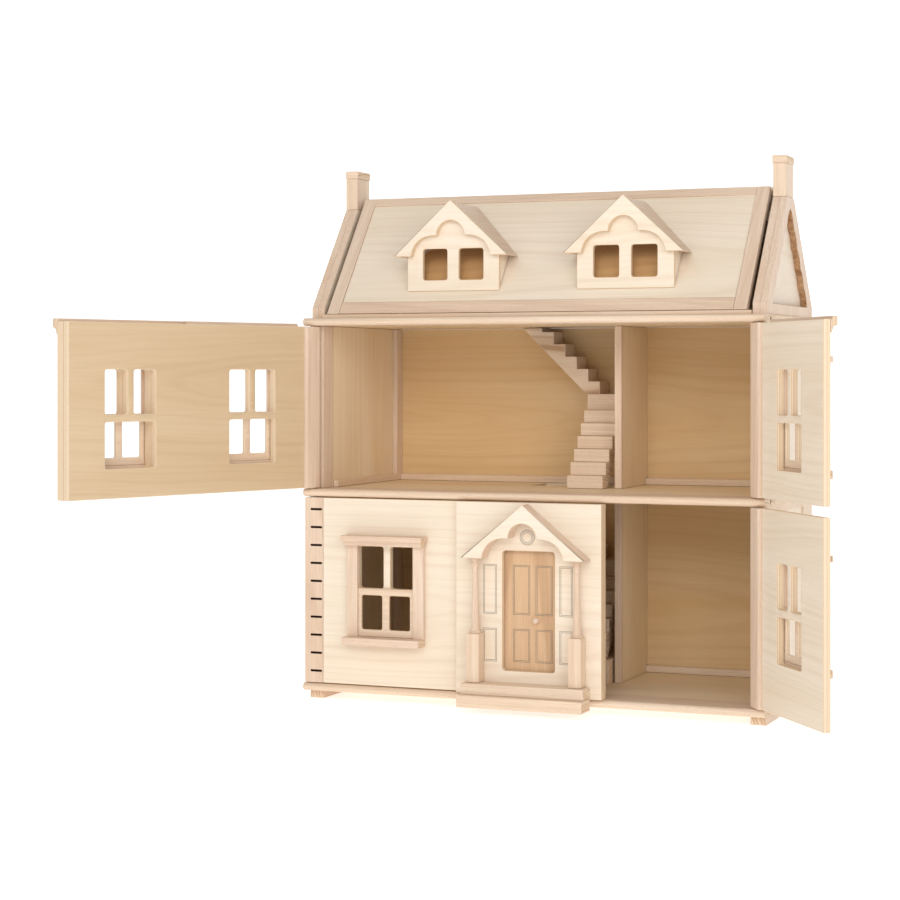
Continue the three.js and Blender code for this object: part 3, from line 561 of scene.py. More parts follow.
for floor in ("middle", "attic"):
    z = sum(corner.z for corner in inHouse(floor + "_floor")) / 2
    for end in (-1, 1):
        for k, y in enumerate(boards["boltPlaces"]):
            x0, x1 = sorted((end * houseHalf, end * (houseHalf + boards["boltMark"])))
            # each bolt hole is a thin dark disc on the board's end, painted shade of a hole; no hole is
            # cut
            hole = extrude(arcPoints(y, z, boards["boltHole"], 0, 345, 23), "x", x0, x1, ease=0)
            piece(f"{floor}Bolt{'LR'[end > 0]}{k + 1}", hole, "carcass", "darkSlot", "yzx", cut="none")

walls = {
    "frontStile": 31, "rearStile": 50, "rail": 12, "setBack": 3, "inner": 8, "batten": 20, "proud": 7,
    "innerFoot": 9,
}


def mirrored(side, x0, x1):
    return (x0, x1) if side == "right" else (-x1, -x0)


# A wall is two sheets of ply in a frame of stiles and rails that shows outside only
def sideWall(storey, side):
    floor, ceiling = storeys[storey]
    node = f"{storey}_side_{side}"
    z0, z1 = floor + hair, ceiling - hair
    split, rail = wallBack - walls["rearStile"], walls["rail"]
    front = wallFront + walls["frontStile"]
    x0, x1 = mirrored(side, wallInner, wallOuter)
    stick(node + "FrontStile", (x0, x1, wallFront, front, z0, z1), "z", "rubberwoodPink", node)
    x0, x1 = mirrored(side, wallInner + walls["inner"] + 0.1, wallOuter)
    stick(node + "RearStile", (x0, x1, split, wallBack, z0, z1), "z", "rubberwood", node)
    for name, a, b in (("Foot", z0, z0 + rail), ("Head", z1 - rail, z1)):
        stick(f"{node}{name}Rail", (x0, x1, front + 0.1, split - 0.1, a, b), "y", "rubberwood", node)
    x0, x1 = mirrored(side, wallInner + walls["inner"] + 0.1, wallOuter - walls["setBack"])
    outer = rectangle(front + 0.1, split - 0.1, z0 + rail + 0.1, z1 - rail - 0.1)
    sheet(node + "OuterPly", outer, "x", x0, x1, "plyFace", "carcass", node, ease=0.3)
    x0, x1 = mirrored(side, wallInner, wallInner + walls["inner"])
    inner = rectangle(front + 0.1, wallBack, z0, z1)
    sheet(node + "InnerPly", inner, "x", x0, x1, "plyInside", "carcass", node, ease=0.3)
    x0, x1 = mirrored(side, wallInner - walls["proud"], wallInner - 0.05)
    rear = backFace - hair
    batten = rear - walls["batten"]
    stick(node + "Batten", (x0, x1, batten, rear, z0, z1), "z", "rubberwoodPink", node, 1.0)
    foot = (x0, x1, front, batten - 0.1, z0, z0 + walls["innerFoot"])
    stick(node + "InnerFoot", foot, "y", "rubberwood", node, 1.0)


for storey in storeys:
    for side in ("left", "right"):
        sideWall(storey, side)
    low, high = inHouse(storey + "_back")
    seam = (low.y + high.y) / 2
    # the room side of each back wall takes the darker, warmer ply, partly painted shade
    for name, finish, y0, y1 in (
        ("Room", "plyRoom", low.y, seam), ("Outer", "plyFace", seam + 0.05, high.y),
    ):
        outline = rectangle(low.x, high.x, low.z, high.z)
        sheet(
            f"{storey}_back{name}Ply", outline, "y", y0, y1, finish, "carcass", storey + "_back", ease=0.3,
        )
    low, high = inHouse(storey + "_skirting")
    profile = softened(
        [(low.y, low.z), (high.y, low.z), (high.y, high.z), (low.y + 2, high.z), (low.y, high.z - 2)], 0.8,
    )
    rail = extrude(profile, "x", low.x, high.x, ease=0.5)
    piece(storey + "_skirtingRail", rail, "carcass", "rubberwood", "xzy", standsFor=storey + "_skirting")

dividers = {"lip": 6.5, "notch": 8.6, "notchRise": 9.8}


def divider(storey):
    low, high = inHouse(storey + "_divider")
    lip = dividers["lip"]
    node = storey + "_divider"
    stick(
        node + "Lip", (low.x, high.x, low.y, low.y + lip, low.z, high.z), "z", "rubberwoodPink", node, 0.8,
    )
    notch, rise = high.y - dividers["notch"], low.z + dividers["notchRise"]
    outline = [
        (low.y + lip + 0.1, low.z), (notch, low.z), (notch, rise), (high.y, rise),
        (high.y, high.z), (low.y + lip + 0.1, high.z),
    ]
    sheet(node + "Sheet", outline, "x", low.x + 0.2, high.x - 0.2, "plyInside", "carcass", node, ease=0.4)


for storey in storeys:
    divider(storey)

stairs = {
    "left": 12, "right": 61.5, "front": 134, "run": 14.5, "steps": 6, "landing": 22,
    "upSteps": 5, "upRun": 16.6, "upDepth": 42, "upBack": 4, "lastRise": 1.3, "landingLap": 6,
    "soffit": 6,
    "footing": 22, "soffitStart": 12, "landingNose": 8, "flightSole": 3, "flightTail": 12,
    "plinthReach": 8,
    "plinthBack": 8.3,
}


# One flight to the back, a landing and a flight to the left, all of stacked blocks
def stair(storey):
    floor, ceiling = storeys[storey]
    node = storey + "_stair"
    foot = ceiling - (atticUnder - middleTop) + hair
    left, right, front, run, steps = (stairs[key] for key in ("left", "right", "front", "run", "steps"))
    rise = (atticUnder - middleTop - stairs["soffit"]) / (steps + stairs["upSteps"] + stairs["lastRise"])
    landingTop = foot + steps * rise + stairs["landing"]
    landingFront = front + steps * run
    under = landingTop - stairs["landing"] - stairs["soffit"]
    slant = (under - foot) / (landingFront + stairs["soffitStart"] - front - stairs["footing"])
    rear = inHouse(node)[1].y
    for step in range(steps):
        y0 = front + step * run
        z0, z1 = foot + step * rise, foot + (step + 1) * rise
        y1 = landingFront if step == 0 else min(rear, landingFront + stairs["landingLap"])
        bottom = [(y0, z0 + 0.1)]
        reach = front + stairs["footing"] + (z0 - foot) / slant
        if reach < y1:
            bottom += [(reach, z0 + 0.1), (min(y1, reach + (z1 - z0) / slant), z1 - 0.05)]
        else:
            bottom += [(y1, z0 + 0.1)]
        outline = bottom + [(bottom[-1][0], z1 - 0.05), (y0, z1 - 0.05)]
        tread = extrude(softened(outline, 0.9), "x", left, right, ease=0.8)
        piece(f"{node}Step{step + 1}", tread, "carcass", "rubberwood", "xyz", standsFor=node)
    head = [
        (landingFront, landingTop - stairs["landing"] + 0.1),
        (landingFront + stairs["landingNose"], under),
        (rear, under), (rear, landingTop), (landingFront, landingTop),
    ]
    landing = extrude(softened(head, 0.9), "x", left, right, ease=0.8)
    piece(node + "Landing", landing, "carcass", "rubberwood", "xyz", standsFor=node)
    climb, top = stairs["upRun"], ceiling - hair
    sole, level = landingTop - stairs["flightSole"], landingTop + 0.1
    outline = [(left - 0.2, sole), (left - 0.2, level), (left + climb, level)]
    for step in range(1, stairs["upSteps"] + 1):
        x = left + climb - (step - 1) * climb
        outline += [(x, landingTop + step * rise), (x - climb, landingTop + step * rise)]
    last = left - (stairs["upSteps"] - 1) * climb
    outline += [(last - 1, top), (last - climb - stairs["flightTail"], top)]
    y0 = landingFront + stairs["upBack"]
    flight = extrude(softened(outline, 0.9), "y", y0, y0 + stairs["upDepth"], ease=0.8)
    piece(node + "Flight", flight, "carcass", "rubberwood", "xzy", standsFor=node)
    if storey == "lower":
        x1, y1 = right + stairs["plinthReach"], rear - stairs["plinthBack"]
        stick(
            node + "Plinth", (left, x1, front, y1, floor + hair, foot - 0.1), "x", "rubberwood", node, 0.9,
        )


for storey in storeys:
    stair(storey)
print("carcass built")

gables = {
    "foot": 14, "stile": 31, "frame": 8.5, "scallop": 3.4, "lobes": 5, "front": 24, "topHalf": 20,
}
ridgeY = (gables["front"] + wallBack) / 2
bendZ = atticTop + gables["foot"]
slope = (gableTop - bendZ) / (ridgeY - gables["topHalf"] - gables["front"])
slopeTurn = math.atan(slope)


def onSlope(z):
    return gables["front"] + (z - bendZ) / slope


# A straight edge broken into shallow lobes that swell into the frame
def scalloped(start, end):
    start, end = Vector(start), Vector(end)
    run = end - start
    out = Vector((run.y, -run.x)).normalized() * gables["scallop"] * 2
    made = []
    for lobe in range(gables["lobes"]):
        a = start + run * (lobe / gables["lobes"])
        b = start + run * ((lobe + 1) / gables["lobes"])
        made += curvePoints(a, (a + b) / 2 + out, b, 10)
    return made


def gable(side):
    node = "gable_" + side
    z0, front = atticTop + hair, gables["front"]
    near, far = ridgeY - gables["topHalf"], ridgeY + gables["topHalf"]
    outline = [
        (front, z0), (wallBack, z0), (wallBack, bendZ), (far, gableTop), (near, gableTop), (front, bendZ),
    ]
    foot = front + gables["stile"]
    apex = bendZ + (ridgeY - foot) * slope
    opening = [(foot, bendZ), (2 * ridgeY - foot, bendZ)]
    opening += scalloped(opening[1], (ridgeY, apex)) + scalloped((ridgeY, apex), opening[0])[:-1]
    x0, x1 = mirrored(side, wallOuter - gables["frame"], wallOuter)
    outer = extrude(outline, "x", x0, x1, [opening], ease=0.4)
    # the frame is scorched where its opening was cut out
    piece(node + "Frame", outer, "carcass", "rubberwoodPink", "zyx", None, "holes", "scorchedCut", node)
    x0, x1 = mirrored(side, wallInner, wallOuter - gables["frame"] - 0.1)
    inner = extrude(outline, "x", x0, x1, ease=0.5)
    piece(node + "Sheet", inner, "carcass", "plyFace", "yzx", None, "sides", "rubberwoodPink", node)


def chimney(side):
    node = "chimney_" + side
    x0, x1, y0, y1, z0, z1 = boxOf(node)
    cap, reach = 10, 1
    stack = (x0 + reach, x1 - reach, y0 + reach, y1 - reach, z0, z1 - cap - 0.05)
    stick(node + "Stack", stack, "z", "rubberwood", node, 0.9)
    stick(node + "Cap", (x0, x1, y0, y1, z1 - cap, z1), "x", "rubberwood", node, 1.2)


for side in ("left", "right"):
    gable(side)
    chimney(side)
for node in ("roof_sill", "ridge_beam"):
    stick(node + "Bar", boxOf(node), "x", "rubberwood", node, 0.8)

roof = {
    "thick": 10, "stile": 17, "topRail": 13, "bottomRail": 21, "recess": 1.5, "ply": 6, "bullnose": 2.6,
}
frameLow, frameHigh = inHouse("roof_front_frame")
roofHalf, roofBottom, roofTop = frameHigh.x, frameLow.z, frameHigh.z
slopeLength = (roofTop - roofBottom) / math.sin(slopeTurn)


# u runs across the house, v up the slope, w out of it
def slopeFrame():
    up = Vector((0, math.cos(slopeTurn), math.sin(slopeTurn)))
    out = Vector((0, -math.sin(slopeTurn), math.cos(slopeTurn)))
    matrix = Matrix((Vector((1, 0, 0)), up, out)).transposed().to_4x4()
    return Matrix.Translation((0, onSlope(roofBottom), roofBottom)) @ matrix


frontSlope = slopeFrame()
rearSlope = Matrix.Translation((0, 2 * ridgeY, 0)) @ Matrix.Scale(-1, 4, (0, 1, 0)) @ frontSlope
rearSlope = rearSlope @ Matrix.Scale(-1, 4, (1, 0, 0))
# The eave is cut level, so the underside starts further up the slope
toe = roof["thick"] / math.tan(slopeTurn)

stile, topRail, bottomRail = roof["stile"], roof["topRail"], roof["bottomRail"]


def eaveCut(v1):
    return [(0, 0), (v1, 0), (v1, -roof["thick"]), (toe, -roof["thick"])]


def roofFrame():
    span = roofHalf - stile - 0.1
    full, under, low = eaveCut(slopeLength), -roof["thick"], slopeLength - topRail
    top = [(low, 0), (slopeLength, 0), (slopeLength, under), (low, under)]
    # each member's profile, its two ends and how far its edges are rounded
    members = (
        ("Left", full, -roofHalf, -roofHalf + stile, 0.8),
        ("Right", full, roofHalf - stile, roofHalf, 0.8),
        ("Eave", eaveCut(bottomRail), -span, span, roof["bullnose"]), ("Top", top, -span, span, 0.8),
    )
    for name, profile, u0, u1, radius in members:
        member = extrude(softened(profile, radius, 6), "x", u0, u1, ease=0.7)
        grain, cut = ("yxz", "none") if name in ("Left", "Right") else ("xyz", "ends")
        piece(
            "roofFrame" + name, member, "roof_front", "rubberwoodPink", grain, frontSlope, cut, None,
            "roof_front_frame",
        )


dormers = {
    "spread": 117, "shift": 4.5, "front": 40, "wall": 6, "light": 34.3, "lightHeight": 41,
    "lightSill": 14.5, "mullion": 16,
    "eave": 583, "half": 80, "rise": 73, "board": 10, "slab": 6, "slabDrop": 2.5, "lobe": 19.5,
    "sideLobe": 36,
    "liningFoot": 9, "liningHead": 2, "liningApex": 6,
}
dormerHalf = (boxOf("dormer_left_body")[1] - boxOf("dormer_left_body")[0]) / 2
dormerBottom = bendZ + (dormers["front"] - gables["front"]) * slope


def roofSheet():
    span = roofHalf - stile - 0.2
    outline = rectangle(-span, span, bottomRail + 0.2, slopeLength - topRail - 0.2)
    w0, w1 = -roof["recess"] - roof["ply"], -roof["recess"]
    sheet(
        "roofSheet", outline, "z", w0, w1, "plyFace", "roof_front", "roof_front_ply", frontSlope, ease=0.3,
    )


roofFrame()
roofSheet()
rear = extrude(softened(eaveCut(slopeLength), 0.6), "x", -roofHalf, roofHalf, ease=0.6)
piece("rearRoofSheet", rear, "carcass", "plyFace", "xyz", rearSlope, cut="none", standsFor="roof_back")


# The scalloped underside of the pediments: two side lobes and a round one between them
def pedimentOutline(x, base, half, rise, lobe, sideLobe):
    shoulder = base + sideLobe * 0.74
    bend, swell = sideLobe * 0.85, base + sideLobe * 0.78
    points = [(x - half, base), (x - lobe - sideLobe, base)]
    points += curvePoints(points[-1], (x - lobe - bend, swell), (x - lobe, shoulder), 12)
    points += arcPoints(x, shoulder, lobe, 180, 0, 24)[1:]
    points += curvePoints(points[-1], (x + lobe + bend, swell), (x + lobe + sideLobe, base), 12)
    return points + [(x + half, base), (x, base + rise)]


def dormer(side):
    x = dormers["shift"] + dormers["spread"] * (1 if side == "right" else -1)
    node = "dormer_" + side
    eave, front, wall = dormers["eave"], dormers["front"], dormers["wall"]
    rise, reach = dormers["rise"] - dormers["slabDrop"], dormers["half"] - dormers["slabDrop"]
    pitch = dormers["rise"] / dormers["half"]
    underReach, underRise = reach - dormers["slab"] / pitch, rise - dormers["slab"]
    shoulder = eave + underRise * (1 - dormerHalf / underReach) - hair
    level = dormerBottom + 0.4
    outline = [
        (x - dormerHalf, level), (x + dormerHalf, level), (x + dormerHalf, shoulder),
        (x, eave + underRise - hair),
        (x - dormerHalf, shoulder),
    ]
    sill = dormerBottom + dormers["lightSill"]
    edges = (x - dormers["mullion"] / 2 - dormers["light"], x + dormers["mullion"] / 2)
    lights = [rounded(a, a + dormers["light"], sill, sill + dormers["lightHeight"], 4) for a in edges]
    nodeBody, nodeRoof = node + "_body", node + "_roof"
    sheet(
        node + "Front", outline, "y", front, front + wall, "plyFace", "roof_front", nodeBody, None,
        lights, 0.5,
    )
    # a tan skin on the slope behind the lights, its darker colour painted shade for the roof ply seen in
    # shadow
    levels = (
        dormerBottom + dormers["liningFoot"], shoulder - dormers["liningHead"],
        eave + underRise - dormers["liningApex"],
    )
    low, high, apex = ((z - roofBottom) / math.sin(slopeTurn) for z in levels)
    half = dormerHalf - wall - 1
    plan = [(x - half, low), (x + half, low), (x + half, high), (x, apex), (x - half, high)]
    lining = extrude(plan, "z", -roof["recess"] + 0.05, -0.3, ease=0.2)
    piece(node + "Lining", lining, "roof_front", "plyShade", "xyz", frontSlope, cut="none")
    # cheeks: triangles that stand on the slope
    y0 = front + wall + 0.1
    foot = bendZ + (y0 - gables["front"]) * slope + 0.6
    for name, x0, x1 in (
        ("Left", x - dormerHalf, x - dormerHalf + wall), ("Right", x + dormerHalf - wall, x + dormerHalf),
    ):
        cheek = extrude(
            [(y0, foot), (onSlope(shoulder) - 0.6, shoulder), (y0, shoulder)], "x", x0, x1, ease=0.3,
        )
        piece(f"{node}{name}Cheek", cheek, "roof_front", "plyFace", "yzx", None, "none", None, nodeBody)
    sizes = (dormers[key] for key in ("half", "rise", "lobe", "sideLobe"))
    pediment = softened(pedimentOutline(x, eave, *sizes), 0.8)
    w0, w1 = front - hair - dormers["board"], front - hair
    sheet(node + "Pediment", pediment, "y", w0, w1, "plyFace", "roof_front", node + "_pediment")
    # each roof slab is cut back along the line where it meets the slope
    for name, way in (("Left", -1), ("Right", 1)):
        solid = bmesh.new()
        ridge = x + way * 0.1
        section = [
            (x + way * reach, eave), (x + way * underReach, eave), (ridge, eave + underRise),
            (ridge, eave + rise),
        ]
        near = [solid.verts.new((u, front + 0.05, v)) for u, v in section]
        far = [solid.verts.new((u, onSlope(v) - 0.5, v)) for u, v in section]
        solid.faces.new(near)
        solid.faces.new(far)
        for i in range(4):
            solid.faces.new((near[i - 1], near[i], far[i], far[i - 1]))
        bmesh.ops.recalc_face_normals(solid, faces=solid.faces)
        bmesh.ops.bevel(solid, geom=solid.edges[:], offset=0.5, segments=2, profile=0.5, affect="EDGES")
        piece(
            f"{node}{name}Slab", solid, "roof_front", "rubberwoodPink", "yxz", None, "none", None,
            nodeRoof,
        )


for side in ("left", "right"):
    dormer(side)
print("roof built")

fronts = {
    "pivotIn": 8, "postWidth": 26, "postDepth": 14, "postFront": 1.5, "gap": 1.2, "sheet": 9, "lining": 2,
    "upperLeft": 110, "upperRight": 127, "lowerRight": 127, "leftEnd": 105.3, "rightEnd": 109.2,
}
pivotX = wallOuter - fronts["pivotIn"]
pivotY = fronts["postFront"] + fronts["postDepth"] / 2
panelEdge = wallOuter - fronts["postWidth"] - hair
sheetFront, sheetBack = fronts["postFront"], fronts["postFront"] + fronts["sheet"]


# A front is drawn closed and swung open about its post's pins
def swung(side, degrees):
    pivot = Matrix.Translation((side * pivotX, pivotY, 0))
    return pivot @ Matrix.Rotation(math.radians(side * degrees), 4, "Z") @ pivot.inverted()


posts = {
    "round": 3, "slots": 10, "slotWide": 16, "slotTall": 2.2, "slotDeep": 5, "slotMargin": 15.5,
    "slotInset": 1.5,
    "cutRound": 1.5, "pin": 3,
}


def post(node, side, storey, body, place, slotted=False):
    floor, ceiling = storeys[storey]
    z0, z1 = floor + fronts["gap"], ceiling - fronts["gap"]
    outer = side * wallOuter
    left = min(outer, outer - side * fronts["postWidth"])
    right = left + fronts["postWidth"]
    front, back = fronts["postFront"], fronts["postFront"] + fronts["postDepth"]
    if slotted:
        # the slotted layer in front, its cuts dark with char and painted shade, and the plain layer behind
        pitch = (z1 - z0 - 2 * posts["slotMargin"]) / (posts["slots"] - 1)
        mouth, tall = right - posts["slotInset"], posts["slotTall"] / 2
        levels = (z0 + posts["slotMargin"] + k * pitch for k in range(posts["slots"]))
        cuts = [rounded(mouth - posts["slotWide"], mouth, z - tall, z + tall, 1) for z in levels]
        layer = front + posts["slotDeep"]
        outline = softened(rectangle(left, right, z0, z1), posts["cutRound"])
        face = extrude(outline, "y", front, layer, cuts, ease=0.4, easeFar=0)
        piece(node + "Face", face, body, "rubberwoodPink", "zxy", place, "holes", "darkSlot", node)
        # a near-black bed at the back of each slot: painted shade in the slot
        for k, cut in enumerate(cuts):
            bed = extrude(cut, "y", layer - 0.25, layer - 0.02, ease=0)
            piece(f"{node}Slot{k + 1}", bed, body, "darkSlot", "xzy", place, "none")
        core = extrude(outline, "y", layer, back, ease=0, easeFar=1.5)
        piece(node + "Core", core, body, "rubberwoodPink", "zxy", place, "none", standsFor=node)
    else:
        bar = extrude(
            softened(rectangle(left, right, front, back), posts["round"], 5), "z", z0, z1, ease=0.6,
        )
        piece(node + "Bar", bar, body, "rubberwoodPink", "zxy", place, standsFor=node)
    for name, a, b in (("Foot", floor + 0.1, z0), ("Head", z1, ceiling - 0.1)):
        pin = turned([(0, a), (posts["pin"], a), (posts["pin"], b), (0, b)], side * pivotX, pivotY, 0)
        piece(f"{node}{name}Pin", pin, body, "pinSteel", "zxy", place, "none")


windows = {
    "light": 54.5, "lowLight": 56.5, "mullion": 10, "transom": 9, "round": 4, "left": 34.5, "right": 29.5,
    "lower": 62.5, "upper": 37, "houseX": -189.5, "bayX": 11, "rightX": 203,
    "stile": 15, "proud": 7, "head": 7, "headProud": 23, "cove": 6, "coveProud": 16, "sill": 10,
    "sillProud": 24,
    "sash": 3.6, "sashStile": 7, "sashRail": 9, "play": 0.4, "groove": 2.5, "headReach": 3,
    "coveReach": 1,
    "coveLip": 5, "sightLap": 0.5, "headGap": 2, "sillLap": 3, "sashLap": 6,
}


def lightHoles(x, bottom, light):
    half, bar = light + windows["mullion"] / 2, windows["mullion"] / 2
    upper = bottom + windows["lowLight"] + windows["transom"]
    top = upper + windows["light"]
    return [
        rounded(x - half, x + half, bottom, bottom + windows["lowLight"], windows["round"]),
        rounded(x - half, x - bar, upper, top, windows["round"]),
        rounded(x + bar, x + half, upper, top, windows["round"]),
    ]


def window(node, x, bottom, light, face, body, sashBody, place):
    inner = light + windows["mullion"] / 2 - windows["sightLap"]
    half = inner + windows["stile"]
    back = face - hair
    top = bottom + windows["lowLight"] + windows["transom"] + windows["light"] + windows["headGap"]
    sillTop = bottom + windows["sillLap"]
    frameNode = node + "_frame"
    cove, head = windows["cove"], windows["head"]
    nose = back - windows["headProud"]

    def moulding(name, profile, reach, ease, grain="xzy"):
        solid = extrude(profile, "x", x - half - reach, x + half + reach, ease=ease)
        piece(node + name, solid, body, "rubberwoodPink", grain, place, standsFor=frameNode)

    # the head's square band, the hollow under it, and the sill
    crown = top + cove + head
    band = softened([(back, top + cove), (back, crown), (nose, crown), (nose, top + cove)], 1.0)
    moulding("Head", band, windows["headReach"], 0.8)
    under, lip = back - windows["coveProud"], top + cove - 0.05
    hollow = [(back, top + 0.1), (back, lip), (under - windows["coveLip"], lip)]
    hollow += curvePoints(hollow[-1], (under, top + cove), (under, top + 0.1), 8)
    moulding("Hollow", hollow, windows["coveReach"], 0.3)
    sill = softened(
        rectangle(back - windows["sillProud"], back, sillTop - windows["sill"], sillTop), 1.4, 4,
    )
    moulding("Sill", sill, 0, 0.9, "xyz")
    # each stile is rebated behind for the sash
    rebate = back - windows["sash"] - 2 * windows["play"]
    proud = back - windows["proud"]
    for name, way in (("Left", -1), ("Right", 1)):
        near, deep, far = (x + way * reach for reach in (inner, inner + windows["groove"], half))
        plan = [(near, proud), (far, proud), (far, back), (deep, back), (deep, rebate), (near, rebate)]
        bar = extrude(softened(plan, 0.8), "z", sillTop + 0.1, top, ease=0.3)
        piece(f"{node}{name}Stile", bar, body, "rubberwoodPink", "zxy", place, standsFor=frameNode)
    sashHalf = inner + windows["groove"] - windows["play"]
    z0 = sillTop + hair
    z1 = z0 + windows["lowLight"] + windows["sashLap"]
    bar = windows["mullion"] / 2
    sashBack = back - windows["play"]
    low, high, edge = z0 + windows["sashRail"], z1 - windows["sashRail"], windows["sashStile"]
    panes = [
        rounded(x - sashHalf + edge, x - bar, low, high, 3),
        rounded(x + bar, x + sashHalf - edge, low, high, 3),
    ]
    outline = rounded(x - sashHalf, x + sashHalf, z0, z1, 1)
    y0, sashNode = sashBack - windows["sash"], node + "_sash"
    sheet(
        node + "Sash", outline, "y", y0, sashBack, "rubberwood", sashBody, sashNode, place, panes, 0.5,
        cut="plyEdge",
    )


def frontOutline(x0, x1, storey):
    floor, ceiling = storeys[storey]
    return rectangle(x0, x1, floor + fronts["gap"], ceiling - fronts["gap"])


# A front's ply, its face towards the room in a finish of its own
def panel(node, x0, x1, storey, body, place, holes, inside="plyFace"):
    outline = frontOutline(x0, x1, storey)
    seam = sheetBack - fronts["lining"]
    sheet(
        node + "Sheet", outline, "y", sheetFront, seam - 0.02, "plyFace", body, node, place, holes, 0.6, 0,
    )
    sheet(node + "Lining", outline, "y", seam, sheetBack, inside, body, node, place, holes, 0, 0.6)


bay = {"left": -89, "thick": 12, "portico": 9}
cornices = {"tall": 19, "nose": 11, "proud": 8.5, "lap": 3.8, "clear": -0.8}


def cornice(name, x0, x1, storey, face, body, place, node):
    ceiling = storeys[storey][1]
    top = ceiling - fronts["gap"]
    back = face - hair
    edge = min(cornices["clear"], back)
    front, low = back - cornices["proud"], top + cornices["lap"] - cornices["tall"]
    crown = top + cornices["lap"]
    profile = [
        (back, low), (back, top), (edge, top), (edge, crown), (front, crown),
        (front, crown - cornices["nose"]),
    ]
    profile += curvePoints(profile[-1], (back - 2, crown - cornices["nose"]), (back - 2, low), 8)
    run = extrude(softened(profile, 1.0), "x", x0, x1, ease=0.8)
    piece(name, run, body, "rubberwoodPink", "xzy", place, standsFor=node)


def upperLeftFront():
    body = "upper_left_front"
    place = swung(-1, fronts["upperLeft"])
    bottom = storeys["upper"][0] + windows["upper"]
    house = lightHoles(windows["houseX"], bottom, windows["left"])
    bays = lightHoles(windows["bayX"], bottom, windows["left"])
    post("upper_left_post", -1, "upper", body, place)
    # its room side takes the darker ply, painted shade for the face turned from the light
    panel(
        "upper_left_panel", -panelEdge, fronts["leftEnd"], "upper", body, place, house + bays, "plyWarm",
    )
    face = sheetFront - hair - bay["thick"]
    outline = frontOutline(bay["left"], fronts["leftEnd"], "upper")
    y1, bayNode = sheetFront - hair, "upper_left_bay"
    sheet("upper_left_baySheet", outline, "y", face, y1, "plyFace", body, bayNode, place, bays)
    cornice(
        "corniceFlat", -panelEdge, bay["left"] - hair, "upper", sheetFront, body, place,
        "upper_left_cornice",
    )
    cornice(
        "corniceBay", bay["left"] - cornices["proud"], fronts["leftEnd"], "upper", face, body, place,
        "upper_left_cornice",
    )
    window(
        "upper_left_window", windows["houseX"], bottom, windows["left"], sheetFront, body,
        "upper_left_sash", place,
    )
    window("bay_window", windows["bayX"], bottom, windows["left"], face, body, "bay_sash", place)


def rightFront(storey, degrees):
    body = storey + "_right_front"
    place = swung(1, degrees)
    bottom = storeys[storey][0] + windows[storey]
    post(storey + "_right_post", 1, storey, body, place)
    panel(
        storey + "_right_panel", fronts["rightEnd"], panelEdge, storey, body, place,
        lightHoles(windows["rightX"], bottom, windows["right"]),
    )
    window(
        storey + "_right_window", windows["rightX"], bottom, windows["right"], sheetFront, body,
        storey + "_right_sash", place,
    )
    if storey == "upper":
        cornice(
            "corniceRight", fronts["rightEnd"], panelEdge, storey, sheetFront, body, place,
            "upper_right_cornice",
        )


door = {
    "x": 9, "wide": 70.6, "tall": 152.5, "sill": 31.5, "lap": 4, "thick": 6, "recess": 1.5, "gap": 0.5,
    "knob": 64.5, "knobOut": 8, "knobRadius": 4, "knobLength": 9,
}
portico = {
    "half": 83, "rise": 69, "thick": 24, "drop": 1.1, "lobe": 19, "sideLobe": 35.5, "spread": 67.8,
    "columnRadius": 5.8, "pedestal": 16.8, "pedestalDeep": 20, "pedestalTall": 62, "stepWide": 163,
    "stepTop": 17,
    "upperTall": 13.5, "upperDeep": 28.5, "lowerTall": 15.5, "lowerFront": 47, "lowerDeep": 35,
    "lowerReach": 1.5,
    # each turn of a column: out from its radius, then up from its pedestal or down from its top
    "columnFoot": ((1.5, 0.1), (1.9, 0.9), (1.5, 2.2), (-0.2, 3.0), (-0.2, 5.5), (-1.1, 7.5), (-1.4, 30)),
    "columnHead": (
        (-2.3, 15), (-2.5, 9.5), (-1.2, 8.6), (-1.2, 7.2), (-2.3, 6.4), (-2.3, 4.2), (-0.6, 3.2),
        (-0.6, 1.6),
        (0.5, 1.2), (0.5, 0),
    ),
}


# Printed panels are given from the door's middle and the floor, the ring from the pediment's foot
printed = {
    "door": {"Left": (-24.5, -1.5), "Right": (6, 28.5), "Upper": (102, 165), "Lower": (42, 84)},
    "porch": {"Left": (-61, -42.5), "Right": (41.5, 59), "Upper": (103, 166), "Lower": (43, 85)},
    "lines": {"Outer": 0, "Inner": 1.7}, "thick": 0.5, "ringX": -1.5, "ringRise": 26.5,
    "rings": {"Outer": (9.8, 9.2), "Middle": (8.2, 7.8), "Inner": (6.4, 5.9)},
}


def printedLoop(name, outline, inner, face, body):
    ring = extrude(outline, "y", face - 0.08, face - 0.01, [inner], ease=0)
    piece(name, ring, body, "printedLine", "xzy", None, "none")


# Two thin lines round each of four panels
def printedPanels(kind, floor, face, body):
    places, thick = printed[kind], printed["thick"]
    for side in ("Left", "Right"):
        x0, x1 = (door["x"] + u for u in places[side])
        for height in ("Upper", "Lower"):
            z0, z1 = (floor + v for v in places[height])
            for line, inset in printed["lines"].items():
                u0, u1, v0, v1 = x0 + inset, x1 - inset, z0 + inset, z1 - inset
                inner = rectangle(u0 + thick, u1 - thick, v0 + thick, v1 - thick)
                printedLoop(kind + side + height + line, rectangle(u0, u1, v0, v1), inner, face, body)


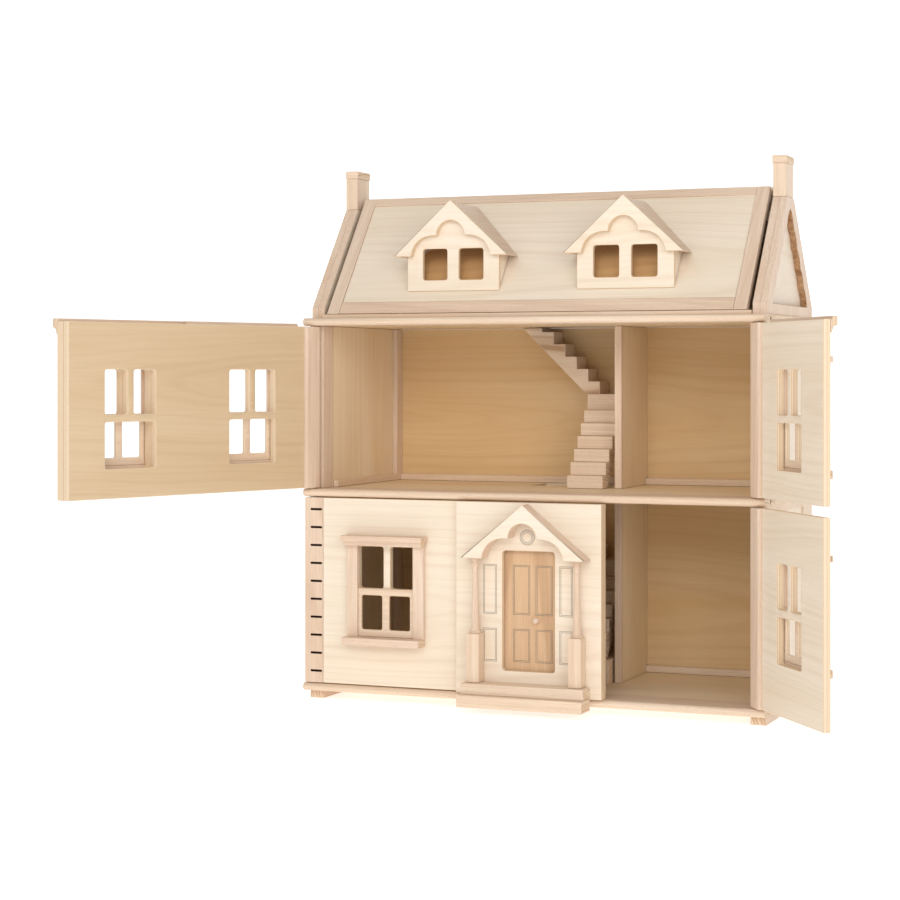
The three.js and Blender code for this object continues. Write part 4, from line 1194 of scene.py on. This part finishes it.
def lowerLeftFront():
    body = "lower_left_front"
    floor, ceiling = storeys["lower"]
    bottom = floor + windows["lower"]
    left, right = door["x"] - door["wide"] / 2, door["x"] + door["wide"] / 2
    sill = floor + door["sill"]
    head = sill + door["tall"]
    lap = door["lap"]
    post("lower_left_post", -1, "lower", body, None, True)
    holes = lightHoles(windows["houseX"], bottom, windows["left"])
    doorHole = rectangle(left - lap, right + lap, sill - lap, head + lap)
    panel("lower_left_panel", -panelEdge, fronts["leftEnd"], "lower", body, None, [*holes, doorHole])
    face = sheetFront - hair - bay["portico"]
    outline, doorway = frontOutline(
        bay["left"], fronts["leftEnd"], "lower",
    ), [rounded(left, right, sill, head, 5)]
    y1, boardNode = sheetFront - hair, "portico_board"
    sheet("porticoBoard", outline, "y", face, y1, "plyFace", body, boardNode, None, doorway)
    window(
        "lower_left_window", windows["houseX"], bottom, windows["left"], sheetFront, body,
        "lower_left_sash", None,
    )

    # the door leaf, rounded at its hinge, with its printed panels
    leafFront = sheetFront + door["recess"]
    radius = door["thick"] / 2
    axisX, axisY = left - lap + door["gap"] + radius, leafFront + radius
    free = right + lap - door["gap"]
    plan = [(free, leafFront), (free, leafFront + door["thick"])]
    plan += arcPoints(axisX, axisY, radius, 90, 270, 12)
    leaf = extrude(softened(plan, 0.6), "z", sill - lap + door["gap"], head + lap - door["gap"], ease=0.5)
    piece("doorLeaf", leaf, "front_door", "doorVeneer", "zxy", None, standsFor="front_door")
    printedPanels("door", floor, leafFront, "front_door")
    r, reach = door["knobRadius"], door["knobLength"]
    centre, crown = reach * 0.68, r * 0.75
    profile = [
        (0, 0), (crown, 0), (r * 0.55, reach * 0.12), (r * 0.5, reach * 0.35), (r * 0.8, reach * 0.48),
    ]
    turns = (-0.5, -0.2, 0.1, 0.4, 0.7, 1.0, 1.3)
    profile += [(r * math.cos(t), centre + crown * math.sin(t)) for t in turns] + [(0, centre + crown)]
    knob = turned(profile, door["x"] + door["knobOut"], leafFront - hair, sill + door["knob"], "y", 28)
    piece("doorKnob", knob, "front_door", "rubberwoodPink", "yxz", None, "none", standsFor="door_knob")

    porticoBody(body, face, floor, ceiling)


def porticoBody(body, face, floor, ceiling):
    x, back = door["x"], face - hair
    base = ceiling - fronts["gap"] - portico["drop"] - portico["rise"]
    sizes = (portico[key] for key in ("half", "rise", "lobe", "sideLobe"))
    arch = extrude(
        softened(pedimentOutline(x, base, *sizes), 0.9), "y", back - portico["thick"], back, ease=0.8,
    )
    piece(
        "porticoPediment", arch, body, "plyFace", "xzy", None, "sides", "rubberwoodPink",
        "portico_pediment",
    )
    step = floor + portico["stepTop"]
    for name, way in (("left", -1), ("right", 1)):
        centre = x + way * portico["spread"]
        half, deep = portico["pedestal"] / 2, portico["pedestalDeep"]
        foot = step + hair
        neck = foot + portico["pedestalTall"]
        node = "portico_column_" + name
        stand = block(centre - half, centre + half, back - deep, back, foot, neck, "z", 0.9)
        piece(node + "Pedestal", stand, body, "rubberwood", "zxy", None, standsFor=node)
        r, top = portico["columnRadius"], base - hair
        profile = [(0, neck + 0.1)] + [(r + out, neck + rise) for out, rise in portico["columnFoot"]]
        profile += [(r + out, top - drop) for out, drop in portico["columnHead"]] + [(0, top)]
        shaft = turned(profile, centre, back - deep / 2, 0)
        piece(node + "Shaft", shaft, body, "rubberwoodPink", "zxy", None, "none", standsFor=node)
    half = portico["stepWide"] / 2
    under = step - portico["upperTall"]
    upper = block(x - half, x + half, back - portico["upperDeep"], back, under + 0.1, step, "x", 1.0)
    piece("stepUpper", upper, body, "rubberwood", "xyz", None, standsFor="portico_steps")
    front = -portico["lowerFront"]
    half += portico["lowerReach"]
    y1, z0 = front + portico["lowerDeep"], under - portico["lowerTall"]
    lower = block(x - half, x + half, front, y1, z0, under, "x", 1.2)
    piece("stepLower", lower, body, "rubberwood", "xyz", None, standsFor="portico_steps")
    # printed panels beside the door, and a printed ring over it
    printedPanels("porch", floor, face, body)
    ringX, ringZ = x + printed["ringX"], base + printed["ringRise"]
    for name, radii in printed["rings"].items():
        outer, inner = (arcPoints(ringX, ringZ, radius, 0, 350, 35) for radius in radii)
        printedLoop("porchRing" + name, outer, inner, face, body)


lowerLeftFront()
upperLeftFront()
rightFront("upper", fronts["upperRight"])
rightFront("lower", fronts["lowerRight"])
print("fronts built")

studio = {
    "near": -4.5, "far": 5.0, "wide": 9.0, "cove": 2.0, "tall": 5.0, "paper": 0.96, "glow": 0.5,
    "world": 0.47,
    "worldTint": (1.0, 0.99, 0.975, 1),
}
# Each lamp: its place, what it faces, its size, power and colour
lamps = {
    "keyLight": ((-1.6, -2.6, 2.2), (0.0, 0.0, 0.3), (1.6, 1.6), 8, (1.0, 0.985, 0.96)),
    "fillLight": ((2.2, -2.2, 1.2), (0.0, 0.1, 0.3), (1.8, 1.8), 25, (1.0, 0.99, 0.98)),
    "frontLight": ((0.35, -3.1, 1.7), (0.0, 0.2, 0.35), (1.5, 1.2), 29, (1.0, 0.975, 0.94)),
}


def studioFloor():
    near, far, cove = studio["near"], studio["far"], studio["cove"]
    profile = [(near, 0)] + [(far - cove + a, cove + b) for a, b in arcPoints(0, 0, cove, 270, 360, 16)]
    profile.append((far, studio["tall"]))
    solid = bmesh.new()
    rows = [[solid.verts.new((x, y, z)) for y, z in profile] for x in (-studio["wide"], studio["wide"])]
    for i in range(len(profile) - 1):
        solid.faces.new((rows[0][i], rows[1][i], rows[1][i + 1], rows[0][i + 1]))
    bmesh.ops.recalc_face_normals(solid, faces=solid.faces)
    mesh = bpy.data.meshes.new("studioFloor")
    solid.to_mesh(mesh)
    solid.free()
    for face in mesh.polygons:
        face.use_smooth = True
    paper = bpy.data.materials.new("whitePaper")
    paper.use_nodes = True
    shader = paper.node_tree.nodes["Principled BSDF"]
    shader.inputs["Base Color"].default_value = (*grey(studio["paper"]), 1)
    shader.inputs["Roughness"].default_value = 0.9
    shader.inputs["Emission Color"].default_value = (1, 1, 1, 1)
    shader.inputs["Emission Strength"].default_value = studio["glow"]
    mesh.materials.append(paper)
    made = bpy.data.objects.new("studioFloor", mesh)
    bpy.context.collection.objects.link(made)


def softLight(name, place, aim, size, power, colour):
    data = bpy.data.lights.new(name, "AREA")
    data.shape = "RECTANGLE"
    data.size, data.size_y = size
    data.energy = power
    data.color = colour
    light = bpy.data.objects.new(name, data)
    light.location = place
    light.rotation_euler = (Vector(aim) - Vector(place)).to_track_quat("-Z", "Y").to_euler()
    bpy.context.collection.objects.link(light)


studioFloor()
world = bpy.data.worlds.new("studio")
world.use_nodes = True
world.node_tree.nodes["Background"].inputs[0].default_value = studio["worldTint"]
world.node_tree.nodes["Background"].inputs[1].default_value = studio["world"]
bpy.context.scene.world = world
for name, settings in lamps.items():
    softLight(name, *settings)
bpy.context.scene.view_settings.view_transform = "Standard"
print("studio ready")
